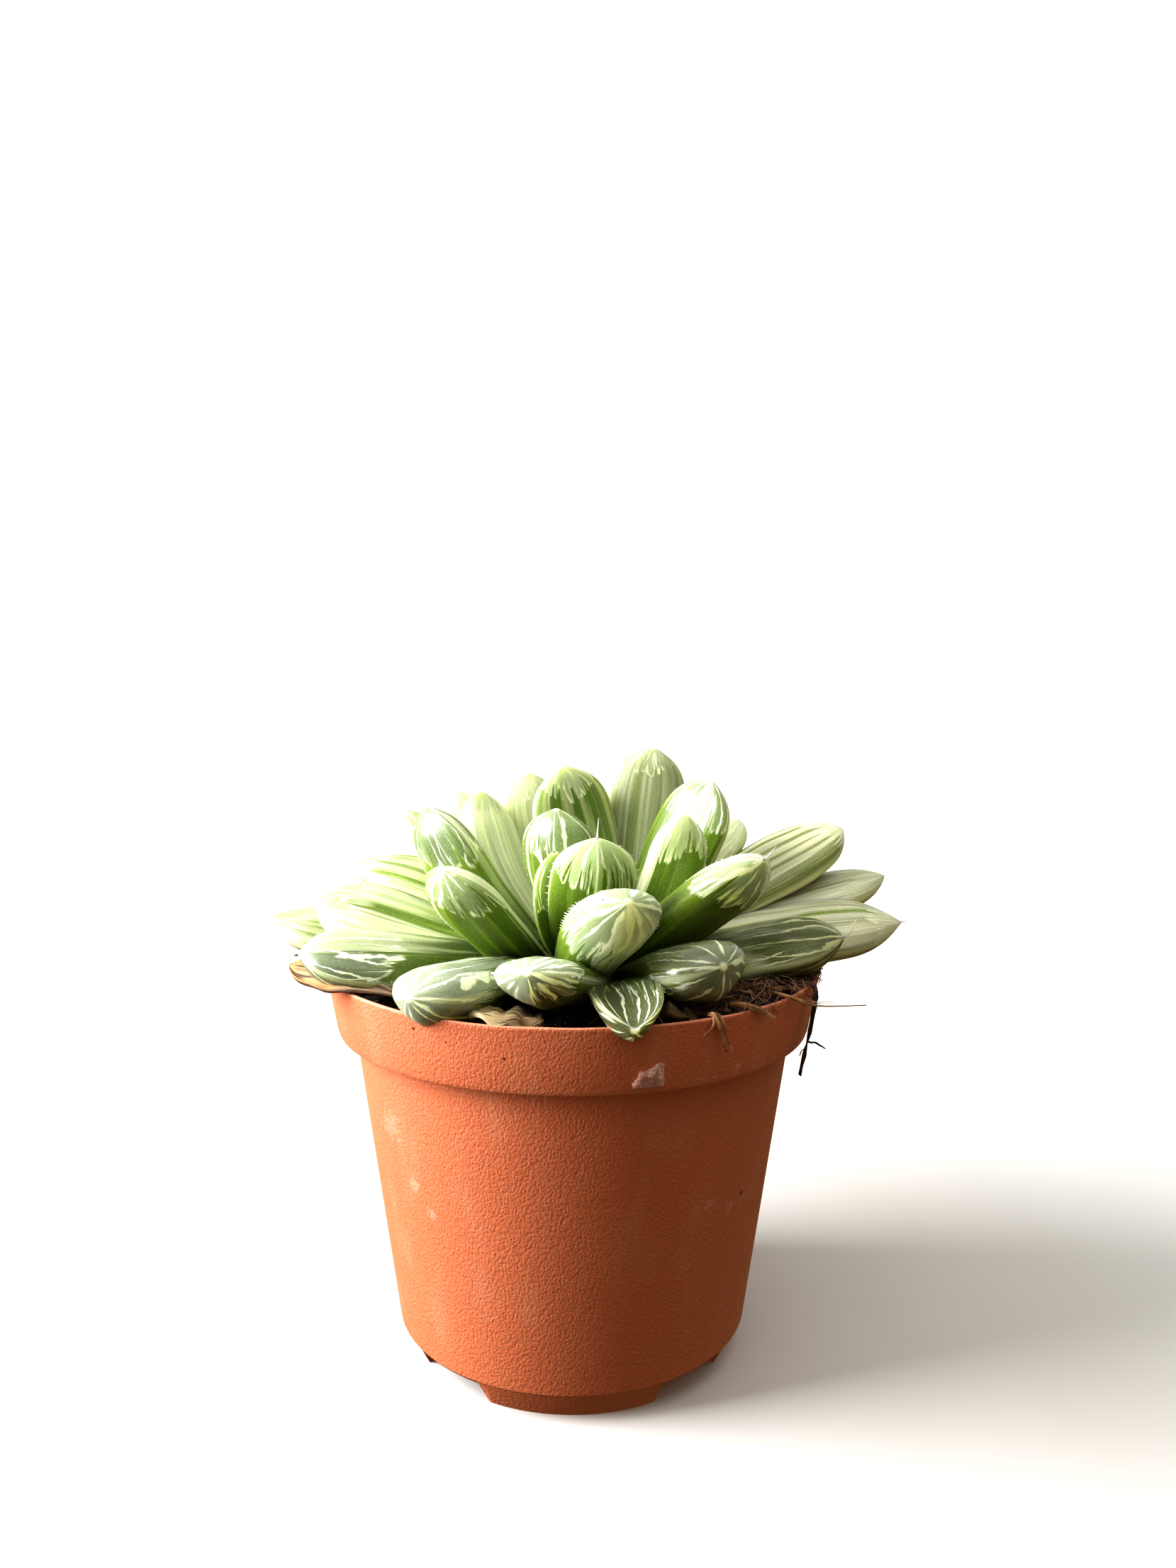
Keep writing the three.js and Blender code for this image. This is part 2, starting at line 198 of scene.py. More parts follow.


# %% [markdown]
# ## Handing over a piece
# A piece is finished when its mesh is in metres, its faces are smooth, it has its material
# and it is tied to the body, and the node that it stands for is hidden. One helper
# does all of that, so no piece can miss a step, and it prints how far the new piece strays
# from the box of the node that it replaces.

# %% Finish a piece
def finish_piece(name, shape, material, replaced=None):
    bmesh.ops.scale(shape, vec=(MM, MM, MM), verts=shape.verts)
    mesh = bpy.data.meshes.new(name)
    shape.to_mesh(mesh)
    shape.free()
    mesh.shade_smooth()
    mesh.materials.append(material)
    piece = bpy.data.objects.new(name, mesh)
    bpy.context.scene.collection.objects.link(piece)
    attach(piece, "root")
    stray = 0.0
    if replaced:
        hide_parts(replaced)
        low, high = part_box(replaced)
        for vertex in mesh.vertices:
            for axis in range(3):
                stray = max(stray, low[axis] - vertex.co[axis], vertex.co[axis] - high[axis])
    print(f"{name}: {len(mesh.polygons)} faces, {stray / MM:.1f} mm past its node")
    return piece


# %% [markdown]
# ## Strands
# Fibres, straws, bristles and the torn bark are all cords that get thinner or thicker on
# the way. A curve object could do it, but a bmesh ring that is extruded, moved, turned and
# scaled from point to point gives a closed tube at once, and many of them can share one
# mesh.

# %% Sweep a ring along a path
def smooth_path(points, steps):
    """A curve through the points, with that many steps between each pair."""
    ends = [points[0] * 2 - points[1]] + list(points) + [points[-1] * 2 - points[-2]]
    path = []
    for a, b, c, d in zip(ends, ends[1:], ends[2:], ends[3:]):
        for step in range(steps):
            t = step / steps
            path.append(0.5 * (2 * b + (c - a) * t + (2 * a - 5 * b + 4 * c - d) * t * t
                               + (3 * b - a - 3 * c + d) * t ** 3))
    return path + [points[-1]]


def sweep(shape, path, radii, sides=5, flat=1.0):
    """A tube through the points of path; radii gives its radius at each, flat its squash."""
    heading = (path[1] - path[0]).normalized()
    turn = Vector((0, 0, 1)).rotation_difference(heading).to_matrix().to_4x4()
    start = Matrix.Translation(path[0]) @ turn @ Matrix.Diagonal((radii[0], radii[0] * flat, radii[0], 1))
    ring = bmesh.ops.create_circle(shape, cap_ends=True, segments=sides, radius=1, matrix=start)["verts"]
    made = list(ring)
    edges = list({edge for vert in ring for edge in vert.link_edges})
    for index in range(1, len(path)):
        here, there = path[index - 1], path[index]
        ahead = path[min(index + 1, len(path) - 1)] - here
        if ahead.length < 1e-6:
            continue
        ahead.normalize()
        grown = radii[index] / radii[index - 1]
        turn = heading.rotation_difference(ahead).to_matrix().to_4x4()
        move = Matrix.Translation(there) @ turn @ Matrix.Scale(grown, 4) @ Matrix.Translation(-here)
        new = bmesh.ops.extrude_edge_only(shape, edges=edges)["geom"]
        ring = [part for part in new if isinstance(part, bmesh.types.BMVert)]
        corners = set(ring)
        edges = [part for part in new if isinstance(part, bmesh.types.BMEdge) and corners.issuperset(part.verts)]
        bmesh.ops.transform(shape, matrix=move, verts=ring)
        made += ring
        heading = ahead
    bmesh.ops.contextual_create(shape, geom=edges)
    return made


def gather(whole, small):
    """Adds a small shape to a whole one, which is much quicker than making it in place."""
    mesh = bpy.data.meshes.new("small")
    small.to_mesh(mesh)
    small.free()
    whole.from_mesh(mesh)
    bpy.data.meshes.remove(mesh)


# %% [markdown]
# ## Leaf shape
# A leaf is a closed, swollen blade: narrow at the stem, broadest at two thirds of its
# length and shut by a blunt tip. It starts as a UV sphere, whose rings are already in
# order from pole to pole, and each ring is moved to its place on the leaf's curved middle
# line. The same rule that places a ring also tells where teeth and bristles stand, so it
# is kept as one function of two numbers: how far along, and how far round.

# %% Rule for a leaf's surface
stem_x, stem_y = 2, -1


def leaf_rule(base, tip, width, thick, arch=0, sway=0, roll=0, turn=None, widest=0.68,
              point=0.62, neck=0.55, blunt=2.2, keel=0.25, cusp=0.5, trough=0, seed=0, wrinkle=0, uneven=0.3,
              spoon=1.3, stout=0.75):
    """place(share, angle) gives the surface point at a share of the length, round the leaf."""
    base, tip = Vector(base), Vector(tip)
    axis = (tip - base).normalized()
    if turn is None:
        outward = Vector((tip.x - stem_x, tip.y - stem_y, 0)).normalized()
    else:
        outward = Vector((math.sin(math.radians(turn)), -math.cos(math.radians(turn)), 0))
    upper = outward * -axis.z + Vector((0, 0, math.hypot(axis.x, axis.y)))
    upper = (upper - axis * upper.dot(axis)).normalized()
    side = axis.cross(upper)
    middle = (base + tip) / 2 + upper * 2 * arch + side * 2 * sway
    upper.rotate(Quaternion(axis, math.radians(roll)))
    drift = Vector((seed * 3.7, seed * 1.9, seed * 2.3))

    def place(share, angle):
        centre = base * (1 - share) ** 2 + middle * 2 * share * (1 - share) + tip * share ** 2
        along = ((middle - base) * (1 - share) + (tip - middle) * share).normalized()
        raised = (upper - along * upper.dot(along)).normalized()
        across = along.cross(raised)
        swell = math.sin(math.pi / 2 * min(1, share / widest))
        past = max(0, (share - widest) / (1 - widest))
        close = max(0, 1 - past ** blunt) ** point * (1 - cusp * past ** 9)
        half = width / 2 * (neck + (1 - neck) * swell ** spoon) * close
        depth = thick * (stout + (1 - stout) * swell ** (spoon - 0.3)) * close
        rise, reach = math.sin(angle), math.cos(angle)
        if rise >= 0:
            height = rise * 0.4 * depth
        else:
            height = -((1 - keel) * -rise + keel * (1 - abs(reach))) * 0.6 * depth
        height += trough * (reach * reach - 0.4) * swell ** 2 * close ** 0.5
        spot = centre + across * reach * half + raised * height
        bulge = noise.noise(spot * 0.13 + drift) * uneven
        ribs = noise.noise(Vector((reach * 4, rise * 4, share * 1.5)) + drift) * 0.22
        spot += (across * reach + raised * rise) * (bulge + ribs) * close
        if wrinkle:
            fold = noise.noise(Vector((reach * 2.6, share * 3.0, seed))) * wrinkle
            crease = noise.noise(Vector((reach * 7, share * 6.0, seed + 5))) * wrinkle * 0.4
            spot += raised * (fold + crease) * close ** 0.3 + across * (fold + crease) * 0.5 * close
        return spot

    return place


# %% [markdown]
# ## Leaf mesh
# Two things are written onto the mesh while it is made, because the finish needs them. The
# first says for each vertex how far round the leaf it lies, how many millimetres of skin
# lie between it and the tip, and how wide the leaf is there; veins and streaks follow
# those lines. The second marks what is horn: teeth on both edges, bristles at the tip and
# beads on the windows. Teeth are cones of four sides, since there are hundreds of them.

# %% Blade of one leaf
leaf_sides, leaf_rings = 40, 46


def measure_skin(spots):
    """For each ring and side of a leaf, how far it is along the skin to the tip."""
    skin = [[0.0] * len(row) for row in spots]
    for ring in range(len(spots) - 2, -1, -1):
        for side, spot in enumerate(spots[ring]):
            skin[ring][side] = skin[ring + 1][side] + (spots[ring + 1][side] - spot).length
    return skin


def even_turn(arcs):
    """Angles round the leaf that grow evenly over its upper and its lower skin."""
    widest, half = max(arcs, key=sum), len(arcs[0]) // 2
    upper, under = sum(widest[1:half + 1]), sum(widest[half + 1:]) + widest[0]
    return [math.pi * sum(widest[1:side + 1]) / upper if side <= half
            else math.pi * (1 + sum(widest[half + 1:side + 1]) / under) for side in range(len(widest))]


def leaf_blade(shape, place, sides, rings, turned):
    blade = shape.verts.layers.float_vector.new("blade")
    shape.verts.layers.float.new("horn")
    girth = shape.verts.layers.float.new("girth")
    spots = [[place(1 - (1 - ring / rings) ** 1.7, math.tau * side / sides) for side in range(sides)]
             for ring in range(rings + 1)]
    skin = measure_skin(spots)
    arcs = [[(row[side] - row[side - 1]).length for side in range(sides)] for row in spots]
    even = even_turn(arcs)
    bmesh.ops.create_uvsphere(shape, u_segments=sides, v_segments=rings, radius=1)
    for vert in shape.verts:
        x, y, z = vert.co
        ring = round((1 - math.acos(max(-1, min(1, z))) / math.pi) * rings)
        side = round(math.atan2(y, x) % math.tau / math.tau * sides) % sides
        angle = even[side] - turned
        at_pole = ring in (0, rings)
        vert.co = spots[ring][side]
        vert[blade] = (0 if at_pole else math.cos(angle), 0 if at_pole else math.sin(angle), skin[ring][side])
        vert[girth] = sum(arcs[ring]) / math.tau
    bmesh.ops.recalc_face_normals(shape, faces=shape.faces)


# %% Teeth, bristles and beads
def mark_horn(shape, verts, place=None):
    """Makes the vertices horn, and gives them a place on the leaf where one is named."""
    blade, horn = shape.verts.layers.float_vector["blade"], shape.verts.layers.float["horn"]
    for vert in verts:
        vert[horn] = 1
        if place:
            vert[blade] = place


def grow_teeth(shape, place, chance, edge, turned, size, span, step):
    """Teeth along one edge, 0 or 1, that grow longer towards the tip."""
    angle, share = turned + math.pi * edge, span[0]
    length = (place(1, 0) - place(0, 0)).length
    while share < span[1]:
        root = place(share, angle)
        out = (root - place(share, angle + math.pi)).normalized()
        ahead = (place(min(1, share + 0.02), angle) - root).normalized()
        long = size * chance.uniform(0.6, 1.25) * min(1, 0.35 + (share - span[0]) * 4)
        lean_to = (out + ahead * chance.uniform(0.2, 0.9)).normalized()
        stand = Vector((0, 0, 1)).rotation_difference(lean_to).to_matrix().to_4x4()
        put = Matrix.Translation(root + lean_to * long * 0.4) @ stand
        cone = bmesh.ops.create_cone(shape, cap_ends=True, cap_tris=True, segments=4, radius1=0.1 + long * 0.14,
                                     radius2=0.01, depth=long * 1.2, matrix=put)
        mark_horn(shape, cone["verts"], (math.cos(math.pi * edge), math.sin(math.pi * edge), 12))
        share += step / length * chance.uniform(0.75, 1.3)


# %% Make one leaf
def leaf_mesh(place, marks=0, teeth=(0, 0), tooth_span=(0.5, 0.97), tooth_step=1.2,
              bristles=(), dots=(), seed=0, sides=leaf_sides, rings=leaf_rings):
    shape = bmesh.new()
    turned = math.radians(marks)
    leaf_blade(shape, place, sides, rings, turned)
    chance = random.Random(seed)
    for edge, size in enumerate(teeth):
        if size:
            grow_teeth(shape, place, chance, edge, turned, size, tooth_span, tooth_step)
    tip = place(1, 0)
    heading = (tip - place(0.93, 0)).lerp(tip - place(0.93, math.pi), 0.5).normalized()
    for long, bend in bristles:
        path = [tip - heading * 0.4 + heading * long * t + Vector(bend) * long * t * t
                for t in (0, 0.25, 0.5, 0.75, 1)]
        mark_horn(shape, sweep(shape, path, [0.2, 0.14, 0.1, 0.07, 0.03], sides=5), (0, 0, 0))
    for angle, first, last, count in dots:
        for number in range(count):
            share = first + (last - first) * number / count
            spot = place(share, math.radians(angle) + 0.12 * math.sin(number * 1.7))
            bead = bmesh.ops.create_icosphere(shape, subdivisions=1, radius=0.17, matrix=Matrix.Translation(spot))
            mark_horn(shape, bead["verts"])
    return shape


# %% [markdown]
# ## Leaf finish
# Seen close up, a leaf shows these layers from the tip down: a horny point, a window that
# is grey-green and almost clear, white veins that run together at the tip, a ragged border
# where white flames and green flames reach into each other, and the streaky green body,
# which some leaves share with cream bands that turn green towards the stem. Each layer is
# a function below, and every leaf has its own look: the values by which it differs from a
# plain leaf. Lengths are in millimetres and angles in degrees.

# %% Look of a plain leaf
plain_leaf = dict(
    reach=(12, 0, 0),  # from the tip to the border; more towards one edge; more on the upper face
    jag=1.0, soft=0.04, flame=0.5,  # how ragged and how soft the border is, and its white flames
    window=(168, 182, 130), marble=0.0, rib=0.0,
    # deep is the darker green of the lower body, partly painted shade, and of the dark skin cells; fade is where, in
    # mm from the tip, the body turns to it
    body=(102, 126, 22), deep=(50, 70, 6), fade=(14, 34), olive=0.0,
    cream=0.0, cream_colour=(236, 240, 198), cream_end=(70, 90), sash=None,
    veins=0.85, lines=12, vein_width=0.2, vein_colour=(244, 248, 220), needles=0.5,
    rim=0.5, horn=(240, 242, 216), shine=0.3, glaze=0.1,
)
print("values in a leaf's look:", len(plain_leaf))

# %% [markdown]
# All patterns follow the leaf, so every noise is read round the leaf and along its skin,
# from the numbers that were written on the mesh, and is stretched into streaks. A vein is
# a line round the leaf's turn: the turn is divided into equal lanes, a noise bends them,
# and each lane draws its own start, end and thickness, so no two veins match.

# %% Streaks and lines along a leaf
class LeafFinish(Finish):
    def __init__(self, name, seed, look):
        super().__init__(name)
        self.look = {**plain_leaf, **look}
        self.blade = self.attribute("blade", "Vector")
        self.girth = self.attribute("girth", "Fac")
        self.side, self.face, self.run = self.split(self.blade)
        chance = random.Random(seed * 7 + 1)
        self.home = [chance.uniform(-40, 40) for _ in range(3)]
        self.fine = self.streaks(9, 0.035, 3, 3.0)

    def streaks(self, across, along, other=0.0, detail=2.0, wobble=0.0):
        """A noise drawn out along the leaf; other gives each use a pattern of its own."""
        x, y, z = self.home
        spread = self.stretch(self.blade, (across, across, along), (x + other * 3.1, y - other * 1.7, z + other))
        return self.grain(spread, 1.0, detail, wobble)

    def lines(self, count, other, width, sway, start, end):
        """Lines that run from the tip, each with its own start and end."""
        lane = self.calc("MULTIPLY_ADD", self.calc("ARCTAN2", self.face, self.side), count / math.tau, count)
        lane = self.sway(lane, self.streaks(1.1, 0.05, other), sway)
        lane = self.sway(lane, self.streaks(1.6, 0.3, other + 2), 0.55)
        lane = self.calc("MODULO", lane, count)
        number = self.calc("FLOOR", lane)
        gap = self.calc("ABSOLUTE", self.calc("SUBTRACT", self.calc("FRACT", lane), 0.5))
        gap = self.times(self.times(gap, self.girth), math.tau / count)
        draws = [self.add("TexWhiteNoise", {"W": self.calc("ADD", number, self.home[0] + other * 9.7 + turn)},
                          noise_dimensions="1D").outputs["Value"] for turn in (0.3, 70.3)]
        thick = self.times(start(draws[0]), end(draws[1]))
        thick = self.times(thick, self.calc("MULTIPLY_ADD", self.streaks(2.0, 0.4, other + 1), 3.0, -0.5))
        thick = self.calc("MULTIPLY_ADD", thick, width, 0.002)
        return self.calc("SUBTRACT", 1.0, self.rise(self.calc("DIVIDE", gap, thick), 0.6, 1.35))


# %% Border between window and body
def leaf_border(mix):
    """How far into the window a spot lies, its share of flame and its share of green."""
    look = mix.look
    mean, more_side, more_face = look["reach"]
    reach = mix.calc("MULTIPLY_ADD", mix.side, more_side, mix.calc("MULTIPLY_ADD", mix.face, more_face, mean))
    inside = mix.calc("DIVIDE", mix.run, reach)
    ragged = mix.times(mix.rise(mix.streaks(8, 0.04, 1, 3.0), 0.48, 0.68), 0.5 * look["jag"])
    lobes = mix.calc("SUBTRACT", mix.streaks(1.8, 0.05, 31), 0.6)
    depth = mix.calc("ADD", mix.calc("MULTIPLY_ADD", lobes, 0.9 * look["jag"], ragged), inside)
    spikes = mix.rise(mix.streaks(5.2, 0.05, 2, 3.0), 0.5, 0.7)
    flame_width = mix.calc("MULTIPLY_ADD", spikes, 0.5 * look["flame"], 0.02)
    step = 1 - look["soft"], 1 + look["soft"]
    return inside, mix.rise(mix.calc("ADD", depth, flame_width), *step), mix.rise(depth, *step)


# %% Body: green skin and cream bands
def leaf_body(mix):
    """The body's colour, and how much cream and how much of the broad band a spot has."""
    look = mix.look
    toward_stem = mix.sway(mix.run, mix.streaks(2.6, 0.04, 4), 30)
    # Towards the stem the body turns to the deep green: partly the leaf's own darker base, partly painted shade where
    # the leaves crowd round the stem.
    skin = mix.blend(mix.rise(toward_stem, *look["fade"]), paint(*look["body"]), paint(*look["deep"]))
    light_line = mix.times(mix.rise(mix.streaks(3.2, 0.02, 34, 4.0), 0.52, 0.64), 0.45)
    skin = mix.blend(light_line, skin, shade(look["body"], 1.15, 35))
    skin = mix.blend(mix.times(mix.rise(mix.fine, 0.48, 0.34), 0.3), skin, shade(look["deep"], 0.8))

    cream_edge = 0.82 - 0.62 * look["cream"]
    cream = mix.rise(mix.streaks(1.9, 0.012, 5, 4.0), cream_edge, cream_edge + 0.07)
    sash = 0.0
    if look["sash"]:
        centre, wide = math.radians(look["sash"][0]), look["sash"][1]
        toward = mix.calc("MULTIPLY_ADD", mix.side, math.cos(centre), mix.times(mix.face, math.sin(centre)))
        frayed = mix.sway(toward, mix.streaks(6, 0.02, 33, 4.0), 0.9)
        sash = mix.rise(frayed, 1 - wide, 1.08 - wide)
        cream = mix.calc("MAXIMUM", cream, sash)
    cream = mix.times(cream, mix.rise(toward_stem, look["cream_end"][1], look["cream_end"][0]))
    pale = mix.blend(mix.rise(mix.fine, 0.42, 0.6), shade(look["cream_colour"], 0.88), paint(*look["cream_colour"]))
    skin = mix.blend(cream, skin, pale)
    if look["olive"]:
        stripe = mix.times(mix.rise(mix.streaks(4.6, 0.018, 6, 4.0), 0.49, 0.58), look["olive"])
        skin = mix.blend(stripe, skin, shade(look["body"], 0.9))
    return skin, cream, sash


# %% Window and its veins
def leaf_window(mix, inside, cream, sash):
    look = mix.look
    window = mix.blend(mix.rise(mix.streaks(2.2, 0.08, 7), 0.35, 0.65), shade(look["window"], 0.95),
                       shade(look["window"], 1.04))
    milky = mix.calc("MULTIPLY_ADD", sash, 0.55, mix.times(cream, 0.22))
    window = mix.blend(milky, window, paint(*look["cream_colour"]))
    if look["marble"]:
        cloud = mix.times(mix.rise(mix.streaks(1.9, 0.14, 8, 3.0, 0.6), 0.46, 0.6), look["marble"])
        window = mix.blend(cloud, window, paint(238, 244, 226))

    def from_tip(draw):
        return mix.rise(mix.calc("SUBTRACT", mix.run, mix.times(draw, 3.6)), -0.6, 1.2)

    def until(draw):
        return mix.rise(mix.calc("SUBTRACT", inside, mix.times(draw, 0.8)), 0.75, 0.35)

    def late_start(draw):
        return mix.rise(mix.calc("SUBTRACT", inside, mix.times(draw, 0.6)), 0.3, 0.75)

    def always(draw):
        return mix.rise(draw, 0.2, 0.35)

    wide = look["vein_width"]
    white = mix.times(mix.lines(look["lines"], 9, wide, 2.2, from_tip, until), look["veins"])
    barbs = mix.times(mix.lines(look["lines"] * 2, 12, wide * 0.7, 3.0, late_start, always), look["veins"])
    window = mix.blend(mix.calc("MAXIMUM", white, barbs), window, paint(*look["vein_colour"]))
    if look["rib"]:
        bent = mix.sway(mix.side, mix.streaks(0.5, 0.12, 21), 0.3)
        middle = mix.rise(mix.calc("ABSOLUTE", bent), 0.06, 0.02)
        window = mix.blend(mix.times(middle, look["rib"]), window, paint(*look["vein_colour"]))
    needles = mix.times(mix.lines(26, 15, 0.2, 3.0, late_start, always), look["needles"])
    return mix.blend(needles, window, shade(look["body"], 0.9))


# %% [markdown]
# The layers are laid over one another, then come the marks that all leaves share: a pale
# margin on both edges near the tip, the pale point, and a faint speckle of light and dark
# skin cells, without which the blade looks like glazed china. Light passes a few
# millimetres under the skin, because the flesh is mostly water; a thin clear coat gives
# the smaller, sharper gleam that the fleshy leaves have above their soft one.

# %% Mix one leaf's finish
def leaf_finish(name, seed, look):
    mix = LeafFinish(name, seed, look)
    look = mix.look
    inside, flame, green = leaf_border(mix)
    skin, cream, sash = leaf_body(mix)
    colour = mix.blend(flame, leaf_window(mix, inside, cream, sash), paint(240, 244, 206))
    colour = mix.blend(green, colour, skin)
    edge = mix.times(mix.rise(mix.calc("ABSOLUTE", mix.face), 0.16, 0.04), look["rim"])
    colour = mix.blend(mix.times(edge, mix.rise(mix.run, 40, 12)), colour, paint(226, 234, 190))
    colour = mix.blend(mix.rise(mix.run, 1.0, 0.3), colour, paint(240, 236, 200))
    speckle = mix.grain(mix.millimetres(), 4.5, 2.0)
    colour = mix.blend(mix.times(mix.rise(speckle, 0.5, 0.75), 0.16), colour, paint(226, 232, 196))
    colour = mix.blend(mix.times(mix.rise(speckle, 0.5, 0.25), 0.2), colour, paint(*look["deep"]))
    colour = mix.blend(mix.attribute("horn", "Fac"), colour, paint(*look["horn"]))

    height = mix.calc("MULTIPLY_ADD", mix.streaks(14, 0.05, 23), 0.6, mix.grain(mix.millimetres(), 2.2, 2.0))
    mix.relief(height, 0.12, 0.35)
    gloss = mix.sway(mix.calc("MULTIPLY_ADD", green, 0.16, look["shine"]), mix.fine, 0.2)
    return mix.set(
        Base_Color=colour, Roughness=gloss, Subsurface_Weight=0.85, Subsurface_Scale=5.0 * MM,
        Subsurface_Radius=(1.0, 1.0, 0.45), Specular_IOR_Level=0.34, Coat_Weight=look["glaze"], Coat_Roughness=0.2)


# %% [markdown]
# ## Leaves, one by one
# No two leaves on the plant look alike: some are almost all cream, some are dark green
# with slate windows. Each row below holds the leaf's place and size, its shape, and its
# look. The looks were read off the plant leaf by leaf; the ones that face away from the
# viewer are given the same range of looks as their neighbours.

# %% Table of leaves
SLATE = dict(window=(134, 143, 110), body=(84, 104, 22), deep=(38, 54, 4), cream_colour=(190, 197, 152), flame=0.3,
             lines=14, needles=0.2)
FRESH = dict(window=(172, 188, 130), body=(98, 124, 14), deep=(48, 68, 2), flame=0.5, needles=0.8)
PALE = dict(window=(188, 198, 152), body=(116, 138, 42), deep=(88, 108, 28), cream=0.62,
            cream_colour=(214, 220, 174), veins=0.4, flame=0.4, needles=0.3)
STRIPED = dict(window=(156, 168, 118), body=(106, 128, 34), deep=(78, 100, 14), cream=0.6,
               cream_colour=(186, 196, 138), olive=0.75, veins=0.35, flame=0.2, soft=0.3, needles=0)
DUSKY = dict(window=(182, 184, 144), body=(104, 116, 42), deep=(68, 78, 18), cream=0.5,
             cream_colour=(214, 212, 174), olive=0.5, veins=0.4, flame=0.2, soft=0.25, needles=0)
OUTER = dict(window=(154, 168, 118), body=(98, 124, 30), deep=(50, 72, 8), cream=0.2, flame=0.5)

